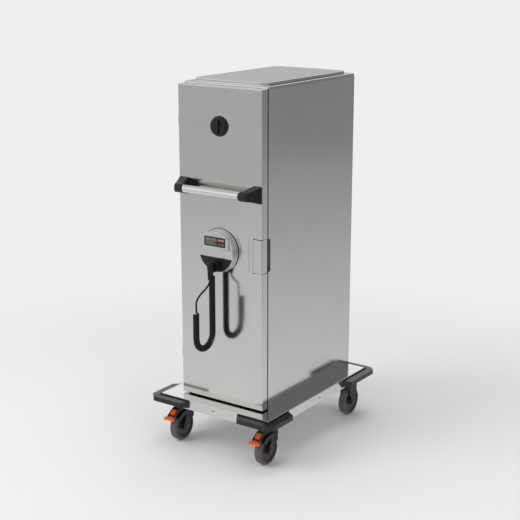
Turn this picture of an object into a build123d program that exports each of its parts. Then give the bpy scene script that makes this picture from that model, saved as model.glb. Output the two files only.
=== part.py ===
"""Heated food transport container: a narrow catering trolley with a heater unit in its door.

Millimetres, +Z up. The front of the door faces -Y and its hinges are on the left, at -X.
The origin is on the floor below the middle of the base plate.
"""
import os
from math import asin, ceil, cos, degrees, floor, hypot, pi, radians, sin, sqrt, tan

from build123d import *

os.makedirs("parts", exist_ok=True)

# Cabinet: a stainless casing round a liner that takes 325 mm wide food pans
BODY_W = 410
BODY_D = 643.5
BODY_H = 1305
WALL = 37
SHEET = 0.8
PANEL_EDGE_R = 3
FRONT_FLANGE = 18
FRAME_DEPTH = 20
FRAME_LIP = 2

# Pressed lid
LID_NECK = 1.6
LID_NECK_INSET = 3
LID_RIM = 7.5
LID_EDGE_R = 6
PLATEAU_H = 11.5
PLATEAU_MARGIN = 23
PLATEAU_CORNER = 36
PLATEAU_EDGE_R = 4

# Runner rails
RAIL_COUNT = 14
RAIL_DEPTH = 15
RAIL_H = 10
RAIL_T = 1.5
RAIL_END_GAP = 40

# Base plate and bumpers
PLATE_SIDE = 72
PLATE_FRONT = 62
PLATE_BACK = 22
PLATE_T = 2
PLATE_CORNER_R = 8
PLATE_BEND_R = 3
SKIRT_H = 42
INSERT_D = 7
INSERT_BORE_D = 5
INSERT_LENGTH = 3.6
INSERT_BORE_DEPTH = 2.6
BUMPER_OUT = 37
BUMPER_INNER_H = 35
BUMPER_OUTER_H = 19
BUMPER_SINK = 5
BUMPER_TOP_FALL = 2
BUMPER_LIP = (2.5, 0.5)
BUMPER_CHAMFER = 28
BUMPER_END_TAPER = 23
BUMPER_EDGE_R = 2
BUMPER_CROSS_ARM = 154
BUMPER_FRONT_ARM = 147
BUMPER_REAR_ARM = 200

# Castors
WHEEL_D = 125
TYRE_W = 34
TYRE_WALL = 10
TYRE_SHOULDER_R = 7
HUB_PLAY = 1
CASTOR_H = 164
CHANNEL_H = 52
CHANNEL_W = 80
CHANNEL_T = 3
CASTOR_INSET = 57
FRONT_SWIVEL_INSET = 104
REAR_AXLE_INSET = 44
TRAIL = 38
FORK_GAP = 36
FORK_LEG_T = 8
LEG_W = 36
LEG_LEAN = 27
GROOVE_WALL = 1
GROOVE_DEPTH = 22
FRONT_GROOVE_UP = (3, 46)
REAR_GROOVE_UP = (3, 32)
HOOD_GAP = 3.5
HOOD_T = 6
HOOD_LIP = 14
FRONT_HOOD_ANGLES = (44, 62)
REAR_HOOD_ANGLE = 68
CROWN_D = 58
CROWN_TOP_GAP = 8
RACE_D = 50
KINGPIN_D = 12
KINGPIN_HEAD_D = 18
KINGPIN_HEAD_H = 6
KINGPIN_BLIND = 24
CASTOR_PLATE = (100, 72, 4)
BOLT_SPACING = (80, 50)
BOLT_D = 8
BOLT_PLAY = 0.5
AXLE_D = 10
AXLE_HEAD_D = 18
AXLE_HEAD_H = 2.5
RUNNING_FIT = 0.05
RUN_GAP = 0.3

# Brake pedals, each in a housing on the front of its fork
PEDAL_PIVOT_FORWARD = 66.5
PEDAL_PIVOT_UP = 59
PEDAL_PIN_D = 6
PEDAL_BARREL_D = 13
PEDAL_TAB = (50, 16, 9)
PEDAL_TAB_ANGLE = 14
PEDAL_PAD = (25, 33, 7)
PEDAL_PAD_START = 10
PEDAL_LINK_T = 3
PEDAL_PAD_ANGLE = 40
HOUSING_R = 96
HOUSING_WALL = 4
HOUSING_BACK_ANGLE = 96
EAR_R = 9.5
BRIDGE_ANGLES = (100, 152)
BRIDGE_GAP = 0.6
PEDAL_PLAY = 1

# Door
DOOR_T = 34
GASKET_GAP = 4.7
DOOR_BOTTOM_GAP = 5.8
DOOR_TOP_RISE = 1
DOOR_EDGE_R = 3
BORE_PLAY = 1
GASKET_W = 14
GASKET_CLEAR = 0.3
GASKET_INSET = 1
GRIP_Z = 651.8
GRIP_H = 138
GRIP_W = 68
GRIP_FLAT = 23
GRIP_LIFT = 3
GRIP_T = 1.2
GRIP_LEAN = 2
GRIP_EDGE_R = 4
GRIP_SLIT = 2
GRIP_SLIT_LENGTH = 41
GRIP_SLIT_END_D = 8
GRIP_CREASE = (6, 0.8)
BACKING_MARGIN = 5
POCKET_DEPTH = 16
POCKET_WALL = 2

# Hinges
HINGE_OUT = 9
HINGE_PIN_D = 6
HINGE_KNUCKLE_D = 13
HINGE_KNUCKLE_H = 34
HINGE_LEAF = (32, 2)
HINGE_END = 160
HINGE_PIN_SHORT = 2

# Push bar
BAR_Z = 899
BAR_OUT = 57
BAR_D = 30
BAR_WALL = 2
NOSE_INSET = 69
NOSE_D = 38
NOSE_LENGTH = 37
BRACKET_H = 69
BRACKET_INSET = (44, 2)
BRACKET_EDGE_R = 3
NOSE_WALL = 4

# Rotary vent
VENT_DROP = 154
VENT_TUBE_D = 46
VENT_FLANGE_D = 70
VENT_FLANGE_T = 3
VENT_KNOB_D = 82
VENT_FACE_D = 70
VENT_OUT = 14
VENT_SKIRT = 3
VENT_SLOT = (8.5, 56)
VENT_SLOT_RIGHT = 2
VENT_WINDOW_R = 27
VENT_RECESS_DEPTH = 8
VENT_SPINDLE_D = 10
VENT_HOLES = 6

# Heater unit
HEATER_Z = 653.6
SEAL_D = 182
SEAL_T = 3
SEAL_CHAMFER = 1
BEZEL_D = 172
FACE_D = 168
FACE_OUT = 32
BEZEL_WALL = 3
BEZEL_EDGE_R = 4
MODULE_OUT = 38
MODULE_W = 134
MODULE_FOOT_UP = 12
MODULE_EDGE_R = 2
DISPLAY = (105.5, 39.6)
DISPLAY_UP = 41.5
DISPLAY_CORNER_R = 3
DISPLAY_T = 2.5
HOLDER_CHORD_DROP = 23.6
HOLDER_T = 12
HOLDER_RIM = 1
COLLAR_DROP = 58.6
COLLAR_D = 46
COLLAR_WALL = 3.2
COLLAR_OUT = 50
COLLAR_EDGE_R = 1.2
PIN_WELL_D = 32
DRUM_D = 156
DRUM_DEPTH = 62
DRUM_WALL = 1.5
MOTOR_D = 56
MOTOR_DEPTH = 30
FAN_D = 104
FAN_BLADES = 7
FAN_HUB_D = 24
FAN_SHAFT_D = 8
ELEMENT_D = 8
ELEMENT_RING_D = 128
GUARD_T = 2
GUARD_SLOTS = 12
GUARD_HUB_D = 34
GUARD_SLOT_W = 6
GUARD_RIM = 8
FAN_CLEAR = 4
MOTOR_EDGE_R = 4

# Mains plug and curly cord
PLUG_HEAD_D = 38
PLUG_HEAD_T = 10
PLUG_STEM_D = 22
PLUG_PIN_D = 4.8
PLUG_PIN_SPACING = 19
PLUG_PIN_LENGTH = 19
NECK_OUT = 70
NECK_D = 25
NECK_WAIST_D = 19
NECK_END_D = 14
NECK_TOP_RISE = 21
NECK_END_DROP = 101.6
CORD_D = 6.2
CORD_SIDES = 6
COIL_X = -8
COIL_R = 9.3
COIL_STEPS = 4
COIL_ARM_OUT = 46.5
COIL_ARM_PITCH = 8.1
COIL_BEND_PITCH = 9.4
COIL_BEND_R = 53
COIL_TOP_DROP = 103
COIL_BEND_DROP = 336
COIL_END_DROP = 231.4
COIL_LEAD = (8.5, 9)
COIL_TANGENT_STEP = 0.01
TAIL_RISE = 52
TAIL_FALL = 42
GLAND_D = 12

# Levels and planes that follow from the sizes above
PLATE_W = BODY_W + 2 * PLATE_SIDE
PLATE_D = PLATE_FRONT + DOOR_T + GASKET_GAP + BODY_D + PLATE_BACK
PLATE_TOP = CASTOR_H + CHANNEL_H + PLATE_T
SHELL_TOP = PLATE_TOP + BODY_H
DOOR_FRONT = -PLATE_D / 2 + PLATE_FRONT
DOOR_BACK = DOOR_FRONT + DOOR_T
BODY_FRONT = DOOR_BACK + GASKET_GAP
BODY_BACK = BODY_FRONT + BODY_D
DOOR_BOTTOM = PLATE_TOP + DOOR_BOTTOM_GAP
DOOR_TOP = SHELL_TOP + DOOR_TOP_RISE
HALF_W = BODY_W / 2
CASING_FRONT = BODY_FRONT + FRAME_LIP
CASTOR_X = PLATE_W / 2 - CASTOR_INSET
AXLE_Z = WHEEL_D / 2
SWIVEL_Y = -PLATE_D / 2 + FRONT_SWIVEL_INSET
FRONT_AXLE_Y = SWIVEL_Y - TRAIL
REAR_AXLE_Y = PLATE_D / 2 - REAR_AXLE_INSET
HEATER_CENTRE = PLATE_TOP + HEATER_Z
VENT_CENTRE = DOOR_TOP - VENT_DROP
BAR_CENTRE = PLATE_TOP + BAR_Z
BAR_HALF = HALF_W - NOSE_INSET
BRACKET_BASE = (HALF_W - BRACKET_INSET[0], HALF_W - BRACKET_INSET[1])
GRIP_CENTRE = PLATE_TOP + GRIP_Z
COLLAR_CENTRE = HEATER_CENTRE - COLLAR_DROP


def block(x0, x1, y0, y1, z0, z1):
    """Box between two opposite corners."""
    size = Box(x1 - x0, y1 - y0, z1 - z0)
    return Pos((x0 + x1) / 2, (y0 + y1) / 2, (z0 + z1) / 2) * size


def rod_x(x0, x1, y, z, d):
    return Pos((x0 + x1) / 2, y, z) * Rot(0, 90, 0) * Cylinder(d / 2, x1 - x0)


def rod_y(y0, y1, x, z, d):
    return Pos(x, (y0 + y1) / 2, z) * Rot(90, 0, 0) * Cylinder(d / 2, y1 - y0)


def rod_z(z0, z1, x, y, d):
    return Pos(x, y, (z0 + z1) / 2) * Cylinder(d / 2, z1 - z0)


def turned_y(points, z):
    """Solid turned about the Y line through (0, z); points are (radius, distance behind the door front)."""
    profile = make_face(Polyline(*points, close=True))
    return Pos(0, DOOR_FRONT, z) * revolve(profile, Axis.Y)


def save(name, *solids):
    """Write one node: one solid, or a group of alike solids."""
    shapes = []
    for item in solids:
        shapes.extend(item.solids())
    node = shapes[0] if len(shapes) == 1 else Compound(children=shapes)
    node.label = name
    export_step(node, "parts/" + name + ".step")


# Base plate: folded tray with a blind insert in the middle of each skirt
def base_plate():
    low = PLATE_TOP - SKIRT_H
    tray = block(-PLATE_W / 2, PLATE_W / 2, -PLATE_D / 2, PLATE_D / 2, low, PLATE_TOP)
    tray = fillet(tray.edges().filter_by(Axis.Z), PLATE_CORNER_R)
    tray = fillet(tray.faces().sort_by(Axis.Z)[-1].edges(), PLATE_BEND_R)
    inner_w = PLATE_W / 2 - PLATE_T
    inner_d = PLATE_D / 2 - PLATE_T
    inside = block(-inner_w, inner_w, -inner_d, inner_d, low, PLATE_TOP - PLATE_T)
    inside = fillet(inside.edges().filter_by(Axis.Z), PLATE_CORNER_R - PLATE_T)
    tray -= inside
    hole_z = PLATE_TOP - SKIRT_H / 2
    tray -= rod_y(-PLATE_D, PLATE_D, 0, hole_z, INSERT_D)
    tray -= rod_x(-PLATE_W, PLATE_W, 0, hole_z, INSERT_D)
    return tray


def skirt_inserts():
    """Short blind inserts, one in each skirt."""
    inserts = []
    for turn, reach in ((0, PLATE_D), (90, PLATE_W), (180, PLATE_D), (270, PLATE_W)):
        nut = rod_y(-reach / 2, -reach / 2 + INSERT_LENGTH, 0, 0, INSERT_D)
        nut -= rod_y(-reach / 2, -reach / 2 + INSERT_BORE_DEPTH, 0, 0, INSERT_BORE_D)
        inserts.append(Pos(0, 0, PLATE_TOP - SKIRT_H / 2) * Rot(0, 0, turn) * nut)
    return inserts


# Bumper: moulded L round a plate corner, mitred and then chamfered at the outer corner
def bumper_arm(length):
    """One arm along +X that ends at the mitre; the plate corner is at the origin and outside is -Y."""
    lip_w, lip_below = BUMPER_LIP
    brow = -BUMPER_SINK - BUMPER_TOP_FALL
    section = Plane.YZ * make_face(Polyline(
        (0, -lip_below),
        (-lip_w, -lip_below),
        (-lip_w, -BUMPER_SINK),
        (-BUMPER_OUT, brow),
        (-BUMPER_OUT, brow - BUMPER_OUTER_H),
        (0, -BUMPER_INNER_H),
        close=True,
    ))
    bar = Pos(-length, 0, 0) * extrude(section, length + BUMPER_OUT, dir=(1, 0, 0))
    plan = make_face(Polyline(
        (-length, 0),
        (-length + BUMPER_END_TAPER, -BUMPER_OUT),
        (BUMPER_OUT - BUMPER_CHAMFER, -BUMPER_OUT),
        (BUMPER_OUT - BUMPER_CHAMFER / 2, -BUMPER_OUT + BUMPER_CHAMFER / 2),
        (0, 0),
        close=True,
    ))
    return bar & Pos(0, 0, -BUMPER_INNER_H) * extrude(plan, BUMPER_INNER_H)


def bumper(y_arm):
    """Bumper of the front right corner, with the plate corner at the origin."""
    mitre = Plane(origin=(0, 0, 0), z_dir=(1, 1, 0))
    moulding = bumper_arm(BUMPER_CROSS_ARM) + mirror(bumper_arm(y_arm), mitre)
    upright = moulding.edges().filter_by(Axis.Z)
    outer = upright.filter_by(lambda edge: abs(edge.length - BUMPER_OUTER_H) < BUMPER_EDGE_R)
    return fillet(outer, BUMPER_EDGE_R)


# Channel: folded U that stands between the castor plates and the base plate
def castor_channel(y):
    half = CHANNEL_W / 2
    length = PLATE_W - 2 * PLATE_T - 2 * PLATE_CORNER_R
    top = CASTOR_H + CHANNEL_H
    outside = block(-length / 2, length / 2, y - half, y + half, CASTOR_H, top)
    outside = fillet(outside.faces().sort_by(Axis.Z)[0].edges().filter_by(Axis.X), 2 * CHANNEL_T)
    wall = half - CHANNEL_T
    inside = block(-length / 2, length / 2, y - wall, y + wall, CASTOR_H + CHANNEL_T, top)
    inside = fillet(inside.faces().sort_by(Axis.Z)[0].edges().filter_by(Axis.X), CHANNEL_T)
    channel = outside - inside
    for x, by in bolt_places(y):
        channel -= rod_z(CASTOR_H, CASTOR_H + CHANNEL_T, x, by, BOLT_D + BOLT_PLAY)
    return channel


def bolt_places(y):
    """Bolt positions of the two castors on the channel at y."""
    places = []
    for side in (-1, 1):
        for dx in (-0.5, 0.5):
            for dy in (-0.5, 0.5):
                places.append((side * CASTOR_X + dx * BOLT_SPACING[0], y + dy * BOLT_SPACING[1]))
    return places


def castor_bolt(x, y):
    """Hexagon bolt from below, with its nut on the channel web."""
    plate_low = CASTOR_H - CASTOR_PLATE[2]
    web_top = CASTOR_H + CHANNEL_T
    hexagon = RegularPolygon(0.92 * BOLT_D, 6)
    head = Pos(x, y, plate_low - 0.65 * BOLT_D) * extrude(hexagon, 0.65 * BOLT_D)
    nut = Pos(x, y, web_top) * extrude(hexagon, 0.8 * BOLT_D)
    shank = rod_z(plate_low, web_top + 1.1 * BOLT_D, x, y, BOLT_D)
    return head + shank + nut


# Castor plate: with a riveted kingpin where the castor swivels
def castor_plate(x, y, swivels):
    size_x, size_y, size_z = CASTOR_PLATE
    low = CASTOR_H - size_z
    plate = block(x - size_x / 2, x + size_x / 2, y - size_y / 2, y + size_y / 2, low, CASTOR_H)
    plate = fillet(plate.edges().filter_by(Axis.Z), 2 * size_z)
    for bx, by in bolt_places(y):
        if abs(bx - x) < size_x / 2:
            plate -= rod_z(low, CASTOR_H, bx, by, BOLT_D + BOLT_PLAY)
    if swivels:
        crown_top = low - CROWN_TOP_GAP
        pin_end = crown_top - KINGPIN_BLIND
        plate += rod_z(crown_top + RUN_GAP, low, x, y, RACE_D)
        plate += rod_z(pin_end, low, x, y, KINGPIN_D)
        plate += rod_z(pin_end, pin_end + KINGPIN_HEAD_H, x, y, KINGPIN_HEAD_D)
    return plate


# Fork: hood over the wheel, two legs with rounded ends, and a crown or a block under the castor plate
def across(profile, x, y, width):
    """Push a profile drawn in (Y, Z) about the axle to both sides of the wheel plane."""
    return Pos(x, y, AXLE_Z) * extrude(Plane.YZ * profile, width / 2, dir=(1, 0, 0), both=True)


def hood_sector(reach, front_angle, back_angle):
    """Wedge about the axle between two angles above the horizontal, front and back."""
    far = 2 * reach
    front = radians(front_angle)
    back = radians(back_angle)
    return make_face(Polyline(
        (0, 0),
        (-far * cos(front), far * sin(front)),
        (0, 2 * far),
        (far * cos(back), far * sin(back)),
        close=True,
    ))


def fork_leg(lean):
    """Outline of a leg in (Y, Z) about the axle; lean is how far its top stands behind the axle."""
    inner_r = WHEEL_D / 2 + HOOD_GAP
    length = hypot(lean, inner_r - LEG_W / 4)
    angle = degrees(asin(lean / length))
    leg = Rot(0, 0, 90 - angle) * Pos(length / 2, 0) * SlotCenterToCenter(length, LEG_W)
    return leg & Circle(inner_r + HOOD_T)


def fork(x, axle_y, lean, front_angle, back_angle):
    """Hood over the wheel between two angles, and two legs."""
    inner_r = WHEEL_D / 2 + HOOD_GAP
    outer_r = inner_r + HOOD_T
    band = Circle(outer_r) - Circle(inner_r - HOOD_LIP)
    band &= hood_sector(outer_r, front_angle, back_angle)
    return across(band + fork_leg(lean), x, axle_y, FORK_GAP + 2 * FORK_LEG_T)


def fork_room(x, axle_y):
    """Space cut out of a fork for its wheel and axle."""
    room = across(Circle(WHEEL_D / 2 + HOOD_GAP), x, axle_y, FORK_GAP)
    return room + rod_x(x - FORK_GAP, x + FORK_GAP, axle_y, AXLE_Z, AXLE_D + 2 * RUNNING_FIT)


def leg_grooves(x, axle_y, lean, levels):
    """Hollow along the front edge of each leg between two levels above the axle, as moulded legs have."""
    low, high = levels
    solid = fork_leg(lean)
    groove = solid - Pos(GROOVE_DEPTH, 0) * solid
    groove &= Pos(0, (low + high) / 2) * Rectangle(4 * LEG_W, high - low)
    outer = across(groove, x, axle_y, FORK_GAP + 2 * (FORK_LEG_T - GROOVE_WALL))
    return outer - across(groove, x, axle_y, FORK_GAP + 2 * GROOVE_WALL)


def pedal_pivot():
    return FRONT_AXLE_Y - PEDAL_PIVOT_FORWARD, AXLE_Z + PEDAL_PIVOT_UP


def brake_housing(x):
    """Block on the hood that carries the pedal between two side walls."""
    reach = hypot(PEDAL_PIVOT_FORWARD, PEDAL_PIVOT_UP)
    rise = degrees(asin(PEDAL_PIVOT_UP / reach))
    ear = Pos(-PEDAL_PIVOT_FORWARD, PEDAL_PIVOT_UP) * Circle(EAR_R)
    top = CASTOR_H - CASTOR_PLATE[2] - CROWN_TOP_GAP - AXLE_Z
    flat = Pos(0, top - HOUSING_R) * Rectangle(4 * HOUSING_R, 2 * HOUSING_R)
    sector = Circle(HOUSING_R) & hood_sector(HOUSING_R, rise, 180 - HOUSING_BACK_ANGLE)
    inside = PEDAL_PAD[0] + 2 * RUN_GAP
    housing = across(flat & sector, x, FRONT_AXLE_Y, inside + 2 * HOUSING_WALL)
    housing += across(ear, x, FRONT_AXLE_Y, inside + 2 * HOUSING_WALL)
    deep = PEDAL_PAD[1] + PEDAL_PLAY
    seat = Rot(0, 0, PEDAL_PAD_ANGLE) * Pos(deep - HOUSING_R / 2, HOUSING_R / 2 - PEDAL_PLAY / 2)
    cut = Pos(-PEDAL_PIVOT_FORWARD, PEDAL_PIVOT_UP) * (
        seat * Rectangle(HOUSING_R, HOUSING_R) + Circle(EAR_R + PEDAL_PLAY))
    housing -= across(cut, x, FRONT_AXLE_Y, inside)
    bridge = Circle(EAR_R) - Circle(PEDAL_BARREL_D / 2 + BRIDGE_GAP)
    bridge &= hood_sector(EAR_R, 180 - BRIDGE_ANGLES[1], BRIDGE_ANGLES[0])
    bridge = Pos(-PEDAL_PIVOT_FORWARD, PEDAL_PIVOT_UP) * bridge
    return housing + across(bridge, x, FRONT_AXLE_Y, inside + 2 * HOUSING_WALL)


def front_fork(x):
    body = fork(x, FRONT_AXLE_Y, LEG_LEAN, FRONT_HOOD_ANGLES[0], FRONT_HOOD_ANGLES[1])
    crown_top = CASTOR_H - CASTOR_PLATE[2] - CROWN_TOP_GAP
    crown = rod_z(AXLE_Z + WHEEL_D / 4, crown_top, x, SWIVEL_Y, CROWN_D)
    body += fillet(crown.faces().sort_by(Axis.Z)[-1].edges(), HOOD_T / 2)
    body += brake_housing(x)
    body -= fork_room(x, FRONT_AXLE_Y)
    body -= leg_grooves(x, FRONT_AXLE_Y, LEG_LEAN, FRONT_GROOVE_UP)
    pivot_y, pivot_z = pedal_pivot()
    body -= rod_x(x - WHEEL_D, x + WHEEL_D, pivot_y, pivot_z, PEDAL_PIN_D + 2 * RUNNING_FIT)
    pin_end = crown_top - KINGPIN_BLIND
    body -= rod_z(pin_end, crown_top, x, SWIVEL_Y, KINGPIN_D + 2 * RUNNING_FIT)
    head_top = pin_end + KINGPIN_HEAD_H + RUN_GAP
    body -= rod_z(pin_end - RUN_GAP, head_top, x, SWIVEL_Y, KINGPIN_HEAD_D + 2 * RUN_GAP)
    return body


def rear_fork(x):
    body = fork(x, REAR_AXLE_Y, 0, REAR_HOOD_ANGLE, REAR_HOOD_ANGLE)
    top = CASTOR_H - CASTOR_PLATE[2]
    half = CROWN_D / 2
    wide = FORK_GAP / 2 + FORK_LEG_T
    body += block(x - wide, x + wide, REAR_AXLE_Y - half, REAR_AXLE_Y + half, AXLE_Z + WHEEL_D / 4, top)
    body -= fork_room(x, REAR_AXLE_Y)
    return body - leg_grooves(x, REAR_AXLE_Y, 0, REAR_GROOVE_UP)


# Wheel: moulded core with a hub, a thin web and a rim, and a grey tyre round it
def wheel_core(x, y):
    rim_r = WHEEL_D / 2 - TYRE_WALL
    bore = AXLE_D / 2 + RUNNING_FIT
    hub_half = FORK_GAP / 2 - HUB_PLAY
    web_half = 0.7 * TYRE_W / 2
    rim_half = 0.85 * TYRE_W / 2
    half = [
        (hub_half, bore),
        (hub_half, 2.6 * bore),
        (web_half, 3 * bore),
        (web_half, rim_r - TYRE_WALL),
        (rim_half, rim_r - 0.7 * TYRE_WALL),
        (rim_half, rim_r),
    ]
    other = [(-along, radius) for along, radius in reversed(half)]
    profile = make_face(Polyline(*half, *other, close=True))
    return Pos(x, y, AXLE_Z) * revolve(profile, Axis.X)


def tyre(x, y):
    outer = Rot(0, 90, 0) * Cylinder(WHEEL_D / 2, TYRE_W)
    outer = fillet(outer.edges().filter_by(GeomType.CIRCLE), TYRE_SHOULDER_R)
    ring = outer - Rot(0, 90, 0) * Cylinder(WHEEL_D / 2 - TYRE_WALL, TYRE_W)
    return Pos(x, y, AXLE_Z) * ring


def axle(x, y):
    """Pin with a low round head outside each leg."""
    wide = FORK_GAP / 2 + FORK_LEG_T
    end = wide + AXLE_HEAD_H
    head = rod_x(wide, end, 0, 0, AXLE_HEAD_D)
    head = fillet(head.faces().sort_by(Axis.X)[-1].edges(), AXLE_HEAD_H / 2)
    pin = rod_x(-wide, wide, 0, 0, AXLE_D)
    return Pos(x, y, AXLE_Z) * (pin + head + mirror(head, Plane.YZ))


def brake_pedal(x):
    """Rocker: a wide tab to step on in front of its pin and a sloping release pad behind it."""
    pivot_y, pivot_z = pedal_pivot()
    tab_w, tab_l, tab_t = PEDAL_TAB
    tab = Box(tab_w, tab_l, tab_t)
    tab = fillet(tab.edges(), tab_t / 3)
    tab = Rot(PEDAL_TAB_ANGLE, 0, 0) * Pos(0, -EAR_R - PEDAL_PLAY - tab_l / 2, 0) * tab
    pad_w, pad_l, pad_t = PEDAL_PAD
    pad = block(-pad_w / 2, pad_w / 2, PEDAL_PAD_START, pad_l, 0, pad_t)
    pad = fillet(pad.faces().sort_by(Axis.Z)[-1].edges(), pad_t / 4)
    pad += block(-pad_w / 2, pad_w / 2, 0, PEDAL_PAD_START, 0, PEDAL_LINK_T)
    pad = Rot(PEDAL_PAD_ANGLE, 0, 0) * pad
    barrel = rod_x(-pad_w / 2, pad_w / 2, 0, 0, PEDAL_BARREL_D)
    link = Rot(PEDAL_TAB_ANGLE, 0, 0) * block(
        -pad_w / 2, pad_w / 2, -EAR_R - tab_l / 2, 0, -tab_t / 3, tab_t / 3)
    pin_half = pad_w / 2 + RUN_GAP + HOUSING_WALL
    pin = rod_x(-pin_half, pin_half, 0, 0, PEDAL_PIN_D)
    return Pos(x, pivot_y, pivot_z) * (tab + pad + barrel + link + pin)


# Cabinet
def pocket_levels():
    half = GRIP_H / 2 - POCKET_WALL
    return GRIP_CENTRE - half, GRIP_CENTRE + half


def casing_box(inset, front):
    """Box of the casing with rounded back and top edges, drawn in by inset."""
    half = HALF_W - inset
    box = block(-half, half, front, BODY_BACK - inset, PLATE_TOP + inset, SHELL_TOP - inset)
    box = fillet(box.edges().filter_by(Axis.Z).group_by(Axis.Y)[-1], PANEL_EDGE_R - inset)
    folds = box.faces().sort_by(Axis.Z)[-1].edges().sort_by(Axis.Y)[1:]
    return fillet(folds, PANEL_EDGE_R - inset)


def outer_shell():
    """Casing, open at the front inside a folded flange, with the finger notch in its right edge."""
    casing = casing_box(0, CASING_FRONT) - casing_box(SHEET, CASING_FRONT + SHEET)
    mouth = HALF_W - FRONT_FLANGE
    casing -= block(
        -mouth, mouth, CASING_FRONT, CASING_FRONT + SHEET,
        PLATE_TOP + FRONT_FLANGE, SHELL_TOP - FRONT_FLANGE)
    low, high = pocket_levels()
    return casing - block(mouth, HALF_W, CASING_FRONT, BODY_FRONT + POCKET_DEPTH, low, high)


def front_frame():
    """Moulded thermal break round the mouth, with a lip over the front of the casing."""
    outer = HALF_W - FRONT_FLANGE
    inner = HALF_W - WALL + SHEET
    low, high = pocket_levels()
    back = BODY_FRONT + FRAME_DEPTH
    ring = block(-outer, outer, BODY_FRONT, back, PLATE_TOP + FRONT_FLANGE, SHELL_TOP - FRONT_FLANGE)
    ring += block(-HALF_W, HALF_W, BODY_FRONT, CASING_FRONT, PLATE_TOP, SHELL_TOP)
    ring -= block(
        -inner, inner, BODY_FRONT, back, PLATE_TOP + WALL - SHEET, SHELL_TOP - WALL + SHEET)
    return ring - block(outer + POCKET_WALL, HALF_W, BODY_FRONT, CASING_FRONT, low, high)


def finger_cup():
    """Cup behind the notch in the casing's edge, for the fingers that pull the door open."""
    outer = HALF_W - FRONT_FLANGE
    low, high = pocket_levels()
    cup = block(
        outer, HALF_W - SHEET, CASING_FRONT + SHEET, BODY_FRONT + FRAME_DEPTH,
        low - POCKET_WALL, high + POCKET_WALL)
    return cup - block(
        outer + POCKET_WALL, HALF_W, CASING_FRONT, BODY_FRONT + POCKET_DEPTH, low, high)


def liner_box(grow, front):
    half = HALF_W - WALL + grow
    back = BODY_BACK - WALL + grow
    return block(-half, half, front, back, PLATE_TOP + WALL - grow, SHELL_TOP - WALL + grow)


def inner_liner():
    return liner_box(SHEET, BODY_FRONT) - liner_box(0, BODY_FRONT)


def body_insulation():
    front = BODY_FRONT + FRAME_DEPTH
    return casing_box(SHEET, front) - liner_box(SHEET, front)


def top_lid():
    """Pressed sheet on a set-back neck that shows as the joint line, with a raised middle."""
    inset = LID_NECK_INSET
    rim_low = SHELL_TOP + LID_NECK
    rim_top = rim_low + LID_RIM
    neck = block(
        -HALF_W + inset, HALF_W - inset, BODY_FRONT + inset, BODY_BACK - inset, SHELL_TOP, rim_low)
    rim = block(-HALF_W, HALF_W, BODY_FRONT, BODY_BACK, rim_low, rim_top)
    rim = fillet(rim.edges().filter_by(Axis.Z), LID_EDGE_R)
    rim = fillet(rim.faces().sort_by(Axis.Z)[-1].edges(), LID_EDGE_R)
    margin = PLATEAU_MARGIN
    raised = block(
        -HALF_W + margin, HALF_W - margin, BODY_FRONT + margin, BODY_BACK - margin,
        rim_top - LID_EDGE_R, rim_top + PLATEAU_H)
    raised = fillet(raised.edges().filter_by(Axis.Z), PLATEAU_CORNER)
    raised = fillet(raised.faces().sort_by(Axis.Z)[-1].edges(), PLATEAU_EDGE_R)
    margin += PLATEAU_EDGE_R
    hollow = block(
        -HALF_W + margin, HALF_W - margin, BODY_FRONT + margin, BODY_BACK - margin,
        SHELL_TOP, rim_top + PLATEAU_H - SHEET)
    hollow = fillet(hollow.edges().filter_by(Axis.Z), PLATEAU_CORNER)
    return neck + rim + raised - hollow


def rail_levels():
    """Underside of each runner rail."""
    low = PLATE_TOP + WALL
    pitch = (BODY_H - 2 * WALL) / (RAIL_COUNT + 1)
    return [low + pitch * (i + 0.5) for i in range(RAIL_COUNT)]


def runner_rails(side):
    """Folded angles: a flange against the wall and a shelf that the pans slide on."""
    wall = HALF_W - WALL
    y0 = BODY_FRONT + RAIL_END_GAP
    y1 = BODY_BACK - WALL - RAIL_END_GAP / 2
    angle = make_face(Polyline(
        (0, 0), (0, RAIL_H), (-RAIL_DEPTH, RAIL_H), (-RAIL_DEPTH, RAIL_H - RAIL_T),
        (-RAIL_T, RAIL_H - RAIL_T), (-RAIL_T, 0), close=True))
    right = extrude(Plane.XZ * angle, y1 - y0, dir=(0, 1, 0))
    rail = right if side > 0 else mirror(right, Plane.YZ)
    return [Pos(side * wall, y0, z) * rail for z in rail_levels()]


# Door
def grip_plate_half():
    return GRIP_H / 2 - GRIP_SLIT / 2


def grip_notch(x0, y0, y1):
    half = grip_plate_half() + GRIP_SLIT
    return block(x0, HALF_W, y0, y1, GRIP_CENTRE - half, GRIP_CENTRE + half)


def grip_slits():
    """Slit above and below the lifted part of the grip plate, each ending in a round hole."""
    x0 = HALF_W - GRIP_SLIT_LENGTH
    back = DOOR_FRONT + SHEET
    slits = None
    for side in (-1, 1):
        z = GRIP_CENTRE + side * (grip_plate_half() + GRIP_SLIT / 2)
        slit = block(x0, HALF_W, DOOR_FRONT, back, z - GRIP_SLIT / 2, z + GRIP_SLIT / 2)
        slit += rod_y(DOOR_FRONT, back, x0, z, GRIP_SLIT_END_D)
        slits = slit if slits is None else slits + slit
    return slits


def backing_box():
    """Room inside the door for the block behind the grip plate."""
    half = grip_plate_half() + GRIP_SLIT + BACKING_MARGIN
    x0 = HALF_W - GRIP_SLIT_LENGTH - BACKING_MARGIN
    return block(
        x0, HALF_W - SHEET, DOOR_FRONT + SHEET, DOOR_BACK - SHEET, GRIP_CENTRE - half, GRIP_CENTRE + half)


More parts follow.
